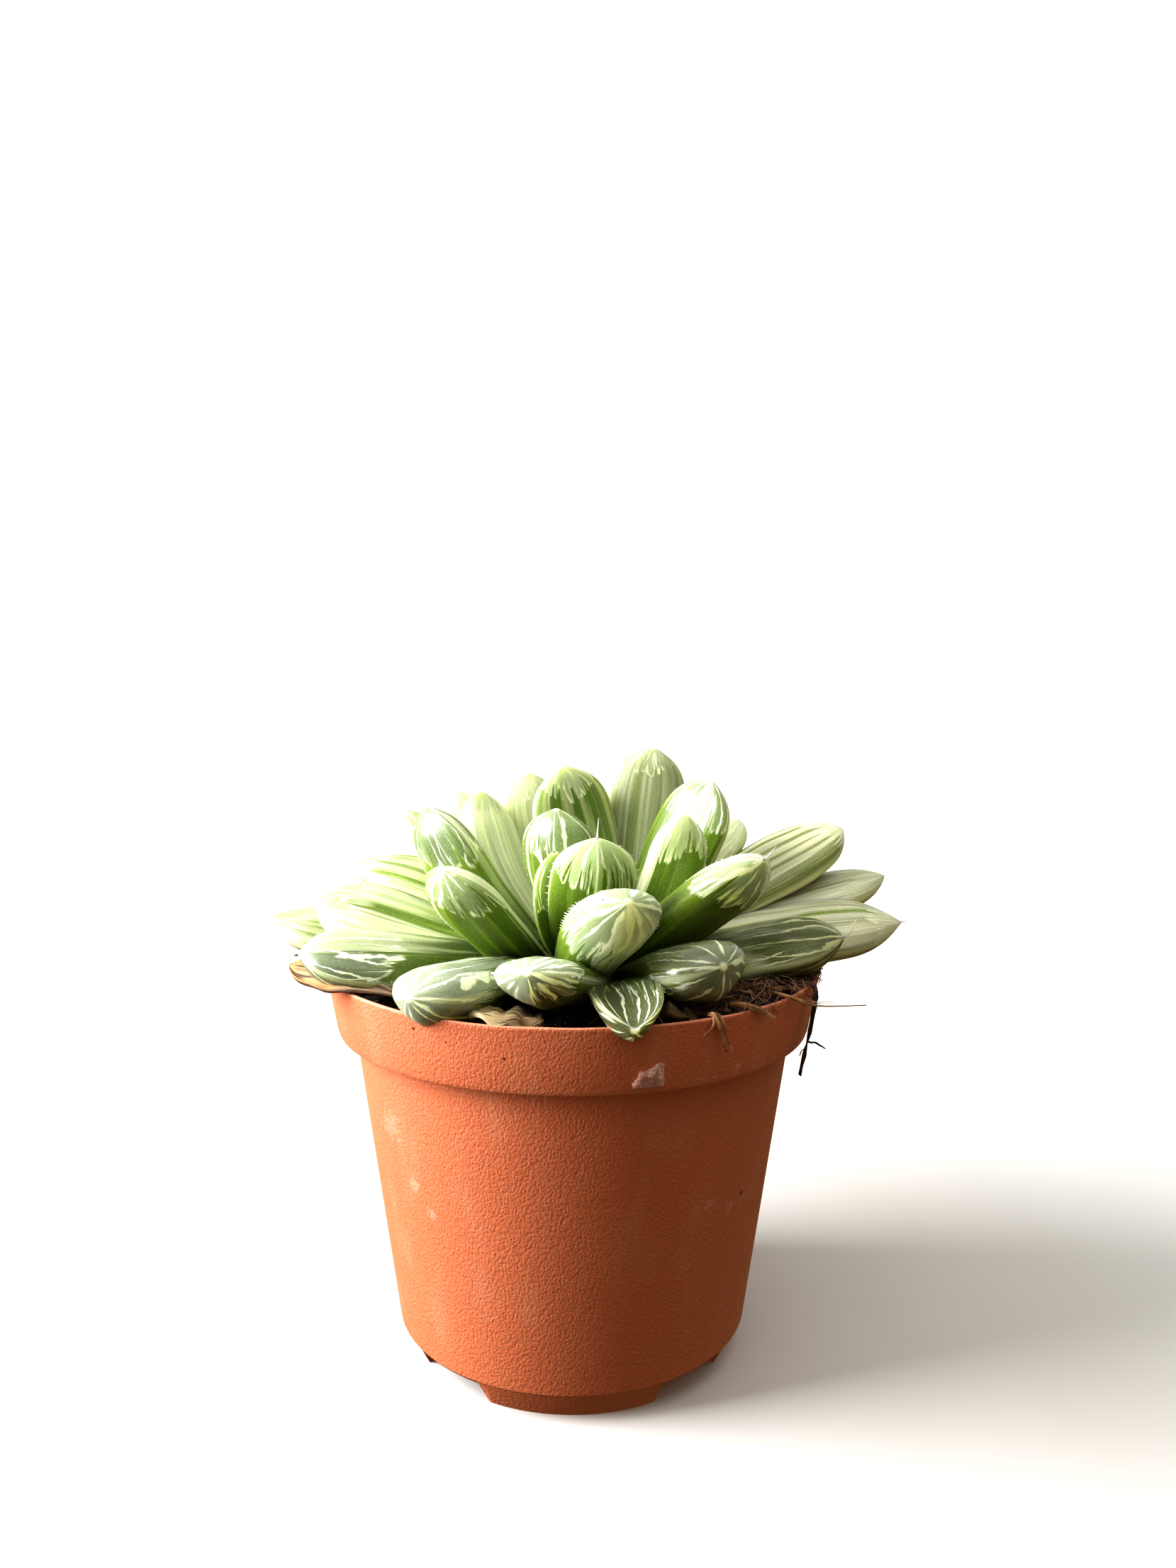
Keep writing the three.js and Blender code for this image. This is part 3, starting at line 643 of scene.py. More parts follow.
leaves = {
    # The heart leaf's window colour is darkened as painted shade from the leaves at its left.
    "leaf_centre_heart": (
        (2, -1, 69), (-2.9, -10, 94.4), 14.5, 6, dict(arch=-2, blunt=2.6),
        dict(FRESH, reach=(11, -3, 0), rib=0.5, window=(118, 134, 84), lines=9, veins=0.55,
             body=(84, 108, 16))),
    "leaf_front_upright": (
        (1, -5, 67), (3.6, -24, 91.4), 14, 7, dict(arch=-3, blunt=3, point=0.5),
        dict(FRESH, reach=(9.5, -1.8, 0), rib=0.9, window=(178, 198, 140), needles=1.0, lines=9, jag=1.2)),
    "leaf_heart_young": ((4, 0, 70), (5, -4, 86), 8, 4, dict(arch=-1, blunt=2.6), FRESH),
    "leaf_heart_youngest": ((4.5, 2.5, 70), (6, 3, 82.5), 6.5, 3.5, dict(turn=120, arch=-1), FRESH),
    "leaf_centre_narrow": (
        (0, -6, 68), (-3.2, -17, 88.3), 10, 5, dict(arch=-2, roll=60),
        dict(FRESH, reach=(9, 0, 0), window=(138, 160, 84), lines=8)),
    "leaf_centre_right": (
        (8, -3, 68), (19, -7, 93.1), 11.5, 6, dict(arch=-4, turn=20, blunt=2.6),
        dict(FRESH, reach=(9, 2, 0), sash=(0, 0.42), flame=0.8, window=(184, 198, 142), lines=8,
             body=(96, 124, 10))),
    "leaf_centre_left": (
        (7, 5, 68), (-2.4, 8, 100.1), 15.5, 6, dict(arch=-1, turn=200, blunt=2.6),
        dict(PALE, reach=(6, 0, 0), cream=0.7, window=(176, 188, 146), cream_colour=(188, 200, 138), olive=0.75,
             body=(104, 134, 36))),
    "leaf_tallest": (
        (10, 7, 67), (14.5, 14, 103.2), 14.5, 6, dict(arch=-1, turn=180, blunt=3),
        dict(PALE, reach=(5, 0, 0), cream=0.8, cream_colour=(182, 188, 148), olive=0.5, body=(136, 147, 92),
             deep=(112, 120, 64), window=(166, 174, 130))),
    "leaf_back_right_upright": (
        (9.5, 3, 68), (24.4, 4, 98), 14.5, 6, dict(arch=-1, turn=150, blunt=2.6),
        dict(FRESH, reach=(10, 0, 0), veins=1.0, flame=0.9, cream=0.24, sash=(70, 0.14), window=(132, 148, 100),
             olive=0.3)),
    # This leaf's cream band lies on its right underside, away from the window light: partly the leaf's own cream,
    # partly painted light that lifts the shaded side.
    "leaf_front_pointing": (
        (0, -9, 65), (7.8, -42, 84.9), 13.5, 9, dict(arch=1, blunt=3.5, point=0.5),
        dict(FRESH, reach=(14, 1, -2), window=(168, 184, 140), sash=(220, 0.26), cream_colour=(226, 232, 186),
             vein_width=0.32, veins=1.0, lines=14, soft=0.1)),
    "leaf_front_left_spoon": (
        (-6, -6, 66), (-20.1, -25, 86.7), 14.5, 8, dict(arch=-0.5, blunt=3, neck=0.7),
        dict(FRESH, reach=(10.5, -5, 1), sash=(190, 0.32), window=(140, 156, 104), cream_colour=(226, 232, 188),
             veins=0.55, body=(96, 120, 18), lines=9)),
    "leaf_front_right_spoon": (
        (8, -6, 66), (29.8, -22, 87.9), 17, 9, dict(arch=1, blunt=3),
        dict(FRESH, reach=(12, 3, 2), window=(176, 192, 146), veins=1.0, lines=11, vein_width=0.3,
             deep=(60, 80, 4), sash=(5, 0.1), body=(104, 126, 20))),
    "leaf_left_keeled": (
        (-5, -2, 67), (-25.8, 0, 93.6), 17, 8.5, dict(arch=-1, turn=-40, sway=2.5, blunt=2.6),
        dict(FRESH, reach=(11, -3, 0), window=(112, 128, 86), cream=0.5, olive=0.5, veins=0.6,
             body=(112, 138, 34), cream_colour=(214, 226, 152), lines=10)),
    "leaf_left_back_long": (
        (-3, 3, 68), (-17.3, 14, 95), 12, 6, dict(arch=-1, turn=210, sway=-3),
        dict(STRIPED, reach=(6, 0, 0), cream=0.95, cream_colour=(238, 246, 200), olive=0.28)),
    "leaf_back_left_pale": (
        (-2, 6, 67), (-9, 20, 98), 13, 6, dict(arch=-2, turn=200, blunt=3),
        dict(PALE, cream=0.8, reach=(6, 0, 0))),
    "leaf_back_middle": ((4, 7, 66), (6, 30, 92), 14, 6, {}, OUTER),
    "leaf_back_right_pale": ((9, 6, 67), (32, 24, 88.5), 14, 6, dict(arch=1, blunt=2.6), dict(PALE, cream=0.8)),
    "leaf_right_upper": (
        (9, 2, 68), (50.2, 15, 88.1), 15, 8, dict(roll=20, blunt=3),
        dict(PALE, reach=(6, 0, 0), cream=0.5, sash=(75, 0.45), olive=0.8, body=(122, 134, 50),
             cream_colour=(222, 222, 180), soft=0.2)),
    "leaf_left_pale": ((-5, 5, 67), (-22.6, 22, 94), 13, 6, dict(turn=210), dict(PALE, cream=0.8)),
    "leaf_left_back_small": ((-6, 4, 66), (-32.5, 25, 90), 12, 6, {}, dict(STRIPED, cream=0.7)),
    "leaf_left_middle": (
        (-6, 2, 67), (-41.8, 18, 80), 13, 7, dict(arch=4, roll=-10),
        dict(STRIPED, reach=(8, 0, 0), cream=0.7, cream_end=(18, 36))),
    "leaf_front_left_end_on": (
        (3, -10, 66.5), (-6.4, -43, 75.2), 14.5, 7.5, dict(arch=-1, blunt=3, point=0.5),
        dict(SLATE, reach=(10, 2, 3), veins=1.0, window=(150, 160, 132), vein_width=0.32, lines=13)),
    "leaf_front_right_glossy": (
        (7, -9, 65.5), (21.9, -36, 74.3), 14, 9.2,
        dict(arch=0.5, roll=10, neck=0.2, blunt=3, point=0.5, widest=0.76, spoon=2.0, stout=0.42),
        dict(SLATE, reach=(15, -3, 3), veins=0.85, lines=11, shine=0.2, glaze=0.6, window=(124, 132, 100),
             body=(88, 100, 36), deep=(84, 94, 34))),
    "leaf_front_left_drooping": (
        (-5, -8, 67), (-23.5, -39, 70.4), 14, 9.4, dict(blunt=3.5, point=0.5),
        dict(SLATE, reach=(18, 0, 3), veins=0.95, window=(146, 156, 128), lines=11, vein_width=0.24,
             marble=0.15)),
    "leaf_right_middle": (
        (10, 1, 67), (57.8, 13, 79.5), 13, 7.5, dict(roll=15),
        dict(DUSKY, cream=0.75, cream_colour=(206, 206, 172))),
    "leaf_left_long": (
        (-6, -1, 65), (-45.8, 3, 76.7), 16, 8.5, dict(roll=-25, blunt=3),
        dict(STRIPED, reach=(9, 0, 0), cream=0.7, cream_end=(16, 34), body=(104, 128, 30),
             cream_colour=(218, 226, 174), olive=0.36)),
    "leaf_right_low": (
        (9, -6, 65), (44.2, -15, 74), 15, 9, dict(arch=0.5, roll=15, blunt=2.6),
        dict(DUSKY, reach=(18, 0, 0), cream=0.1, window=(92, 98, 42), veins=0.95, vein_width=0.28, lines=11,
             deep=(40, 50, 4), vein_colour=(206, 208, 160), marble=0.12, shine=0.45, glaze=0.0)),
    "leaf_right_far": (
        (9, 0, 66), (58, 1, 73.2), 15, 9, dict(arch=1, roll=25, point=0.75),
        dict(DUSKY, cream=0.7, reach=(6.5, 0, 0), cream_colour=(204, 202, 168), body=(92, 108, 32), jag=1.6,
             soft=0.1)),
    "leaf_left_low": (
        (-6, -6, 66), (-43.4, -21, 72.2), 15, 8.5, dict(roll=-20, blunt=3),
        dict(SLATE, reach=(14, 0, 2), veins=0.95, window=(110, 122, 90), sash=(70, 0.4), cream_end=(14, 28),
             lines=10)),
    "leaf_left_far": (
        (-6, 3, 66), (-56.8, 14, 71.1), 14, 7, dict(arch=-1.5, roll=-20),
        dict(STRIPED, reach=(9, 0, 0), window=(140, 152, 106), cream_colour=(160, 170, 116))),
    "leaf_back_1": ((-1, 7, 64), (-14, 37, 88), 14, 7, {}, FRESH),
    "leaf_front_small": (
        (5, -9, 61), (8.6, -46, 67.9), 11, 5.5,
        dict(arch=4, widest=0.6, point=0.45, blunt=3.4, cusp=0.2, keel=0.2, trough=3.0),
        dict(SLATE, reach=(16, 0, 1), veins=0.8, window=(88, 94, 60), lines=12, vein_width=0.18)),
    "leaf_right_under": ((9, -2, 62), (48.5, 2, 69.3), 12, 5.5, {}, dict(PALE, reach=(5, 0, 0))),
    "leaf_back_2": ((7, 6, 63), (34, 36, 79), 15, 7, dict(arch=2), PALE),
    "leaf_back_3": ((3, 7, 63), (7, 47, 80), 15, 7, dict(arch=2), OUTER),
    "leaf_back_4": ((-3, 5, 62), (-28, 38, 73), 15, 7, dict(arch=3), STRIPED),
    "leaf_back_5": ((8, 4, 63), (45, 22, 73), 14, 7, dict(arch=2), DUSKY),
    "leaf_back_6": ((5, 7, 61), (21, 43, 72), 14, 7, dict(arch=3), FRESH),
    "leaf_back_7": ((0, 7, 61), (-10, 45, 71), 15, 7, dict(arch=3), SLATE),
    "leaf_back_8": ((-5, 3, 61), (-44, 28, 70), 14, 6.5, dict(arch=2), OUTER),
}
print("leaves in the table:", len(leaves))

# %% [markdown]
# Teeth, bristles and beads also differ from leaf to leaf, so the few leaves that show
# them clearly have their own row here. marks turns the whole pattern round the blade, for
# leaves that twist on their stalk and show the underside to the side.

# %% Table of small details
details = {
    "leaf_centre_heart": dict(marks=-30, teeth=(0.25, 0.25)),
    "leaf_front_upright": dict(teeth=(0.4, 0.5), tooth_step=1.4, bristles=[(3.4, (0.0, 0, 0.1))]),
    "leaf_centre_narrow": dict(teeth=(0.25, 0.35), bristles=[(5.5, (0.1, 0.1, 0.35))]),
    "leaf_centre_right": dict(marks=30, teeth=(0.25, 0.25)),
    "leaf_front_pointing": dict(marks=25, teeth=(0.6, 0.3), tooth_step=1.1),
    "leaf_front_left_spoon": dict(marks=-60, teeth=(0.12, 0.12)),
    "leaf_front_right_spoon": dict(marks=75, teeth=(0.45, 0.4), tooth_step=1.3,
                                   bristles=[(2.2, (0.2, 0, 0.6)), (1.0, (-0.5, 0, 0.3))]),
    "leaf_front_left_end_on": dict(teeth=(0.6, 0.75), tooth_step=0.8, tooth_span=(0.55, 0.93)),
    "leaf_front_small": dict(teeth=(0.6, 0.6), tooth_step=0.8, tooth_span=(0.3, 0.8)),
    "leaf_right_low": dict(bristles=[(3.2, (-0.35, 0, 0.8))]),
    "leaf_right_far": dict(teeth=(0.3, 0.3), tooth_step=0.8, tooth_span=(0.84, 0.98), bristles=[(1.2, (0.2, 0, 0))]),
    "leaf_left_keeled": dict(teeth=(0.2, 0.2)),
    "leaf_left_low": dict(bristles=[(3.0, (-0.2, 0, -0.1)), (2.6, (-0.1, 0, 0.4)), (2.0, (0, 0, -0.5))],
                          dots=[(172, 0.42, 0.8, 11)]),
    "leaf_front_left_drooping": dict(dots=[(178, 0.45, 0.8, 10)]),
}

# %% Grow the leaves
for number, (name, (base, tip, width, thick, form, look)) in enumerate(leaves.items()):
    place = leaf_rule(base, tip, width, thick, seed=number, **form)
    shape = leaf_mesh(place, seed=number, **details.get(name, {}))
    finish_piece(name + "_blade", shape, leaf_finish(name + "_skin", number, look), name)

# %% [markdown]
# ## Withered leaves
# Old leaves dry to thin tan paper. They have the same outline as a living leaf but almost
# no thickness, and the dried skin folds along its length. The leaf rule takes a wrinkle
# for that. The finish runs from orange tan at the tip to grey brown, with darker ribs.

# %% Mix the withered finish
def withered_finish(name, tip_colour, body_colour, dark_colour):
    mix = Finish(name)
    blade = mix.attribute("blade", "Vector")
    side, face, run = mix.add("SeparateXYZ", {0: blade}).outputs
    streak = mix.grain(mix.stretch(blade, (5, 5, 0.12)), 1.0, 4.0)
    patch = mix.grain(mix.millimetres(), 0.35, 4.0)
    away = mix.calc("MULTIPLY_ADD", mix.calc("SUBTRACT", patch, 0.5), 16, run)
    colour = mix.blend(mix.rise(away, 5, 14), paint(*tip_colour), paint(*body_colour))
    colour = mix.blend(mix.rise(streak, 0.52, 0.62), colour, paint(*dark_colour))
    speck = mix.rise(mix.cells(mix.millimetres(), 1.6), 0.16, 0.08)
    colour = mix.blend(mix.calc("MULTIPLY", speck, 0.6), colour, paint(225, 216, 196))
    mix.relief(mix.calc("MULTIPLY_ADD", streak, 2.0, patch), 0.3, 0.8)
    return mix.set(Base_Color=colour, Roughness=0.6, Subsurface_Weight=0.25, Subsurface_Scale=0.8 * MM)


# %% Lay the withered leaves
withered = {
    "withered_leaf_left": ((-20, -23.5, 66.8), (-45.3, -19, 70), 9.5, 1.0, dict(roll=-25, wrinkle=1.4),
                           ((214, 160, 104), (142, 116, 88), (84, 62, 42))),
    "withered_leaf_front": ((-4, -35, 65.6), (-15, -37, 67.2), 7, 0.5, dict(arch=0.4, wrinkle=1.7),
                            ((196, 172, 128), (152, 122, 82), (92, 66, 40))),
    "withered_leaf_right": ((13, -28, 65), (17, -35, 66.4), 5.5, 0.8, dict(arch=1, wrinkle=2.4),
                            ((122, 98, 58), (74, 54, 30), (38, 26, 16))),
}
for number, (name, (base, tip, width, thick, form, tints)) in enumerate(withered.items()):
    place = leaf_rule(base, tip, width, thick, seed=90 + number, uneven=0.8, **form)
    shape = leaf_mesh(place, teeth=(0, 0), seed=90 + number, sides=32, rings=30)
    finish_piece(name + "_husk", shape, withered_finish(name + "_skin", *tints), name)

# %% [markdown]
# ## Pot
# The pot is moulded plastic: a tapering body, a wider collar with a thin lip, a foot ring
# cut away at four places, and a floor with drain holes. A closed outline of the wall is
# spun round the axis, then the sharp edges are bevelled. The gaps in the foot ring are
# made by lifting that part of the ring along its own slope. The floor is a second closed
# body that ends inside the wall. Soil and stem are spun too, so the spin has a helper.

# %% Spin an outline
def spun(outline, steps, closed=False):
    """A body turned from an outline of (radius, height) points."""
    shape = bmesh.new()
    corners = [shape.verts.new((radius, 0, height)) for radius, height in outline]
    for first, second in zip(corners, corners[1:] + corners[:closed]):
        shape.edges.new((first, second))
    bmesh.ops.spin(shape, geom=shape.verts[:] + shape.edges[:], cent=(0, 0, 0), axis=(0, 0, 1),
                   dvec=(0, 0, 0), angle=math.tau, steps=steps, use_merge=True, use_duplicate=False)
    bmesh.ops.remove_doubles(shape, verts=shape.verts, dist=1e-4)
    bmesh.ops.recalc_face_normals(shape, faces=shape.faces)
    return shape


# %% Spin the wall
wall_outline = [
    (27.4, 0), (29.9, 4.7), (30.5, 5.05), (37.7, 56.1), (37.85, 56.3), (39.95, 56.3), (40.45, 56.5),
    (40.75, 57.3), (41.6, 62), (42.38, 66.4), (42.44, 66.78), (42.38, 66.94), (42.24, 67), (41.95, 66.97),
    (41.6, 66.7), (41.3, 66.2), (41.1, 65.4), (40.3, 61), (39.75, 57.5), (36.7, 57.3), (36.4, 56.3),
    (29.5, 6.8), (28.7, 5.8), (27.8, 4.6), (26.2, 0),
]
pot = spun(wall_outline, 240, closed=True)
sharp = [edge for edge in pot.edges
         if abs(edge.verts[0].co.z - edge.verts[1].co.z) < 1e-5 and edge.verts[0].co.z < 66
         and len(edge.link_faces) == 2 and edge.calc_face_angle() > 0.5]
bmesh.ops.bevel(pot, geom=sharp, offset=0.22, offset_type="OFFSET", segments=3, profile=0.5,
                affect="EDGES", material=-1, clamp_overlap=True)
print("pot wall:", len(pot.faces), "faces,", len(sharp), "rounded edges")

# %% Cut the foot ring
foot_outer, foot_inner, foot_top = 27.4, 26.2, 4.7
outer_slope, inner_slope = 2.5 / 4.7, 1.6 / 4.6
notch_height, notch_half = 4.2, 15.75


def lift_foot(vert):
    radius = math.hypot(vert.co.x, vert.co.y)
    heading = math.degrees(math.atan2(vert.co.y, vert.co.x)) % 90
    if vert.co.z < foot_top and abs(heading - 45) < notch_half:
        outer = radius > (foot_outer + foot_inner) / 2 + vert.co.z * 0.44
        raised = notch_height + vert.co.z * (foot_top - notch_height) / foot_top
        grown = (radius + (raised - vert.co.z) * (outer_slope if outer else inner_slope)) / radius
        vert.co = Vector((vert.co.x * grown, vert.co.y * grown, raised))


for vert in pot.verts:
    lift_foot(vert)
print("cut-outs in the foot ring: 4, each", 2 * notch_half, "degrees wide")

# %% Roughen the lip
for vert in pot.verts:
    if vert.co.z > 65.5:
        turned = math.atan2(vert.co.y, vert.co.x)
        spot = Vector((math.cos(turned) * 6, math.sin(turned) * 6, 0))
        burr = max(0, noise.noise(spot * 3) - 0.35) * 0.5
        vert.co.z += noise.noise(spot) * 0.12 + burr * (vert.co.z > 66.8)
        vert.co.x *= 1 + noise.noise(spot + Vector((5, 0, 0))) * 0.002
        vert.co.y *= 1 + noise.noise(spot + Vector((0, 5, 0))) * 0.002
print("lip is at most", round(max(vert.co.z for vert in pot.verts), 2), "mm high")

# %% Lay the floor with its drain holes
floor_low, floor_high, floor_radius = 4.6, 5.8, 28.3
drain_radius, drain_circle = 3.5, 17
rings = list(bmesh.ops.create_circle(pot, segments=96, radius=floor_radius,
                                     matrix=Matrix.Translation((0, 0, floor_low)))["verts"])
for quarter in range(4):
    turned = math.pi / 4 + quarter * math.pi / 2
    centre = Vector((math.cos(turned) * drain_circle, math.sin(turned) * drain_circle, floor_low))
    rings += bmesh.ops.create_circle(pot, segments=32, radius=drain_radius,
                                     matrix=Matrix.Translation(centre))["verts"]
outline = list({edge for vert in rings for edge in vert.link_edges})
plate = bmesh.ops.triangle_fill(pot, use_beauty=True, use_dissolve=False, edges=outline)["geom"]
under = [part for part in plate if isinstance(part, bmesh.types.BMFace)]
thick = bmesh.ops.extrude_face_region(pot, geom=under, use_keep_orig=True)["geom"]
bmesh.ops.translate(pot, vec=(0, 0, floor_high - floor_low),
                    verts=[part for part in thick if isinstance(part, bmesh.types.BMVert)])
bmesh.ops.recalc_face_normals(pot, faces=pot.faces)
print("floor plate:", len(under), "faces each side")

# %% [markdown]
# ## Pot finish
# The mould left a leathery grain with a pitch of about half a millimetre. Grain this small
# belongs in the finish, as relief: ridges where a noise passes its middle, rounded pebbles
# from a cell pattern between them, and a little fine noise; the grooves are painted a darker red.
# Handling left faint pale scuffs and specks of soil; each scuff is a soft spot at its own place
# on the wall, broken up by noise so that it has no outline. A pale haze over the wall is partly
# dust and partly painted sheen. The top of the lip is painted paler.

# %% Marks on the wall
scuffs = [((-24.8, -24.5, 36.4), 1.5, 0.25), ((-22, -26.3, 32.5), 1.1, 0.25), ((-28.4, -21.9, 45), 3.4, 0.16),
          ((21.2, -27.3, 34.4), 1.2, 0.25), ((25.1, -23.4, 32.6), 1.2, 0.22), ((24.5, -32.7, 58.3), 0.7, 0.35),
          ((-26.5, -23, 50.5), 1.5, 0.2), ((20.9, -34.9, 57.6), 0.3, 0.6), ((18.3, -36.3, 57.6), 0.25, 0.6)]
specks = [((-23.3, -35.1, 64.7), 0.35), ((-18.3, -37.7, 63.5), 0.25), ((-9.7, -40.4, 62), 0.3),
          ((27, -21.4, 33.7), 0.6), ((6.5, -34, 48), 0.22), ((-14, -31, 40), 0.2), ((12, -33.5, 44), 0.2)]
print("scuffs:", len(scuffs), "specks:", len(specks))


# %% Mix the pot's plastic
def pot_finish():
    mix = Finish("terracotta_plastic")
    place = mix.millimetres()
    low_place = mix.stretch(place, (1, 1, 0.8))
    ridge = mix.calc("ABSOLUTE", mix.calc("SUBTRACT", mix.grain(low_place, 3.2, 1.5, 0.2), 0.5))
    pebble = mix.cells(low_place, 2.7, "SMOOTH_F1")
    fine = mix.grain(place, 5.0, 2.0)
    colour = mix.blend(mix.grain(place, 0.05, 2.0), paint(206, 115, 76), paint(216, 124, 87))
    # The grooves of the grain are painted a darker red.
    colour = mix.blend(mix.rise(ridge, 0.05, 0.0), colour, paint(196, 93, 57))
    breakup = mix.grain(place, 1.4, 4.0)
    for centre, size, amount in scuffs:
        frayed = mix.sway(mix.away(place, centre), breakup, size * 3.2)
        colour = mix.blend(mix.times(mix.rise(frayed, size, size * 0.35), amount), colour, paint(238, 200, 178))
    for centre, size in specks:
        colour = mix.blend(mix.rise(mix.away(place, centre), size, size * 0.5), colour, paint(58, 30, 20))
    # The top of the lip is painted paler.
    lip = mix.times(mix.rise(mix.split(place)[2], 66.7, 66.95), 0.4)
    colour = mix.blend(lip, colour, paint(232, 160, 126))
    # A pale haze in patches: partly dust, partly painted sheen.
    dust_and_sheen = mix.times(mix.rise(mix.grain(mix.stretch(place, (1, 1, 0.4)), 0.16, 3.0), 0.5, 0.75), 0.12)
    colour = mix.blend(dust_and_sheen, colour, paint(232, 180, 150))
    bumps = mix.calc("MULTIPLY_ADD", pebble, -0.9, mix.times(fine, 0.15))
    mix.relief(mix.calc("MULTIPLY_ADD", ridge, 1.1, bumps), 0.15, 0.8)
    gloss = mix.calc("MULTIPLY_ADD", fine, 0.12, 0.4)
    return mix.set(Base_Color=colour, Roughness=gloss, Subsurface_Weight=0.06, Subsurface_Scale=0.8 * MM)


finish_piece("pot_shell", pot, pot_finish(), "pot")

# %% [markdown]
# ## Soil
# Potting soil is dark crumbs of peat with root fibres and a few white grains. It mounds
# up round the stem and is heaped against the lip at the right. The filling is one spun
# body whose top follows that mound and heap and is roughened by noise. The finish mixes
# two browns by a dusty noise and scatters pale grains with a cell pattern.

# %% Height of the soil
soil_edge, soil_mound, soil_heap = 63.7, 1.6, 3.9
soil_rim, flat_from = 39.2, 37.5


def soil_height(x, y):
    radius, angle = min(math.hypot(x, y), flat_from), math.atan2(y, x)
    edge = radius / flat_from
    bumps = 0.5 * math.sin(x * 0.55 + 1) * math.cos(y * 0.5) + 0.3 * math.sin(x * 1.1 - y * 0.9)
    heap = soil_heap * max(0, math.cos(angle + 0.2)) ** 2 * edge ** 2
    return soil_edge + soil_mound * (1 - edge * edge) + bumps + heap


def crumbly(x, y):
    spot = Vector((x, y, 0))
    lumps = noise.noise(spot * 0.45) * 0.7 + noise.noise(spot * 1.1) * 0.5 + noise.noise(spot * 2.6) * 0.3
    return soil_height(x, y) + lumps - 0.2


print("soil at the left and right:", round(soil_height(-36, 0), 1), round(soil_height(36, 0), 1), "mm")

# %% Fill the pot
top_rings = 78
soil_outline = [(soil_rim * ring / top_rings, 66) for ring in range(top_rings + 1)]
soil_outline += [(39.15, 58.3), (36.2, 57.9), (35.8, 55.8), (28.9, 7.4), (27.3, 6.15), (0, 6.15)]
soil = spun(soil_outline, 200)
for vert in soil.verts:
    if vert.co.z > 60:
        vert.co.z = crumbly(vert.co.x, vert.co.y)
print("soil filling:", len(soil.faces), "faces")


# %% Mix the soil finish
def soil_finish(name, dark, brown, amount):
    mix = Finish(name)
    place = mix.millimetres()
    crumb = mix.cells(place, 1.1)
    dust = mix.grain(place, 1.6, 4.0)
    colour = mix.blend(mix.rise(dust, 0.38, 0.66), paint(*dark), paint(*brown))
    grains = mix.rise(mix.cells(mix.stretch(place, (1, 1, 1), (7, 3, 1)), 0.55), 0.16, 0.1)
    colour = mix.blend(mix.times(grains, amount), colour, paint(206, 196, 178))
    mix.relief(mix.calc("ADD", mix.times(crumb, 0.6), dust), 0.5, 0.9)
    return mix.set(Base_Color=colour, Roughness=0.92)


finish_piece("soil_filling", soil, soil_finish("peat", (20, 14, 11), (58, 40, 28), 0.5), "soil")

# %% [markdown]
# ## Crumbs and fibres
# Loose crumbs are icospheres of twenty faces, squashed, turned and dented at random. Root
# fibres are short swept strands of four sides that lie on the soil, most of them on the
# heap at the right, where the pot was filled to the brim. There, more of them spill over
# the lip. Thousands of strands need so few faces each, and all of them share one mesh.

# %% Strew the crumbs
chance = random.Random(5)
crumbs = bmesh.new()
for _ in range(1500):
    radius = 38.2 * math.sqrt(chance.uniform(0.05, 1))
    angle = chance.uniform(0, math.tau)
    x, y = radius * math.cos(angle), radius * math.sin(angle)
    size = chance.choice((0.25, 0.35, 0.5, 0.5, 0.8))
    if radius + size > 38.6:
        continue
    squash = Matrix.Diagonal((size * chance.uniform(0.7, 1.5), size, size * chance.uniform(0.5, 0.9), 1))
    turned = Matrix.Rotation(chance.uniform(0, math.tau), 4, "Z") @ Matrix.Rotation(chance.uniform(-0.6, 0.6), 4, "X")
    put = Matrix.Translation((x, y, crumbly(x, y) + size * 0.25)) @ turned @ squash
    lump = bmesh.new()
    bmesh.ops.create_icosphere(lump, subdivisions=1, radius=1, matrix=put)
    for vert in lump.verts:
        vert.co += Vector([chance.uniform(-0.12, 0.12) for _ in range(3)]) * size
    gather(crumbs, lump)
finish_piece("soil_crumbs", crumbs, soil_finish("crumbs", (24, 18, 14), (84, 61, 45), 0.3))


# %% Mix the fibre finish
def fibre_finish(name, light, dark, roughness=0.7):
    mix = Finish(name)
    place = mix.millimetres()
    tone = mix.grain(place, 0.5, 3.0)
    colour = mix.blend(mix.rise(tone, 0.36, 0.64), paint(*dark), paint(*light))
    mix.relief(mix.grain(mix.stretch(place, (4, 4, 1.2)), 1.2, 3.0), 0.15, 0.7)
    return mix.set(Base_Color=colour, Roughness=roughness)


# %% Lay fibres on the soil
fibres = bmesh.new()


def wander(start, heading, long, bend, points):
    """A wandering path that begins at start and keeps to about its length."""
    path, spot = [start.copy()], start.copy()
    for _ in range(points - 1):
        heading = (heading + Vector([chance.gauss(0, bend) for _ in range(3)])).normalized()
        spot = spot + heading * long / (points - 1)
        path.append(spot.copy())
    return path


def add_fibre(path, radii):
    strand = bmesh.new()
    sweep(strand, path, radii, sides=4, flat=0.6)
    gather(fibres, strand)


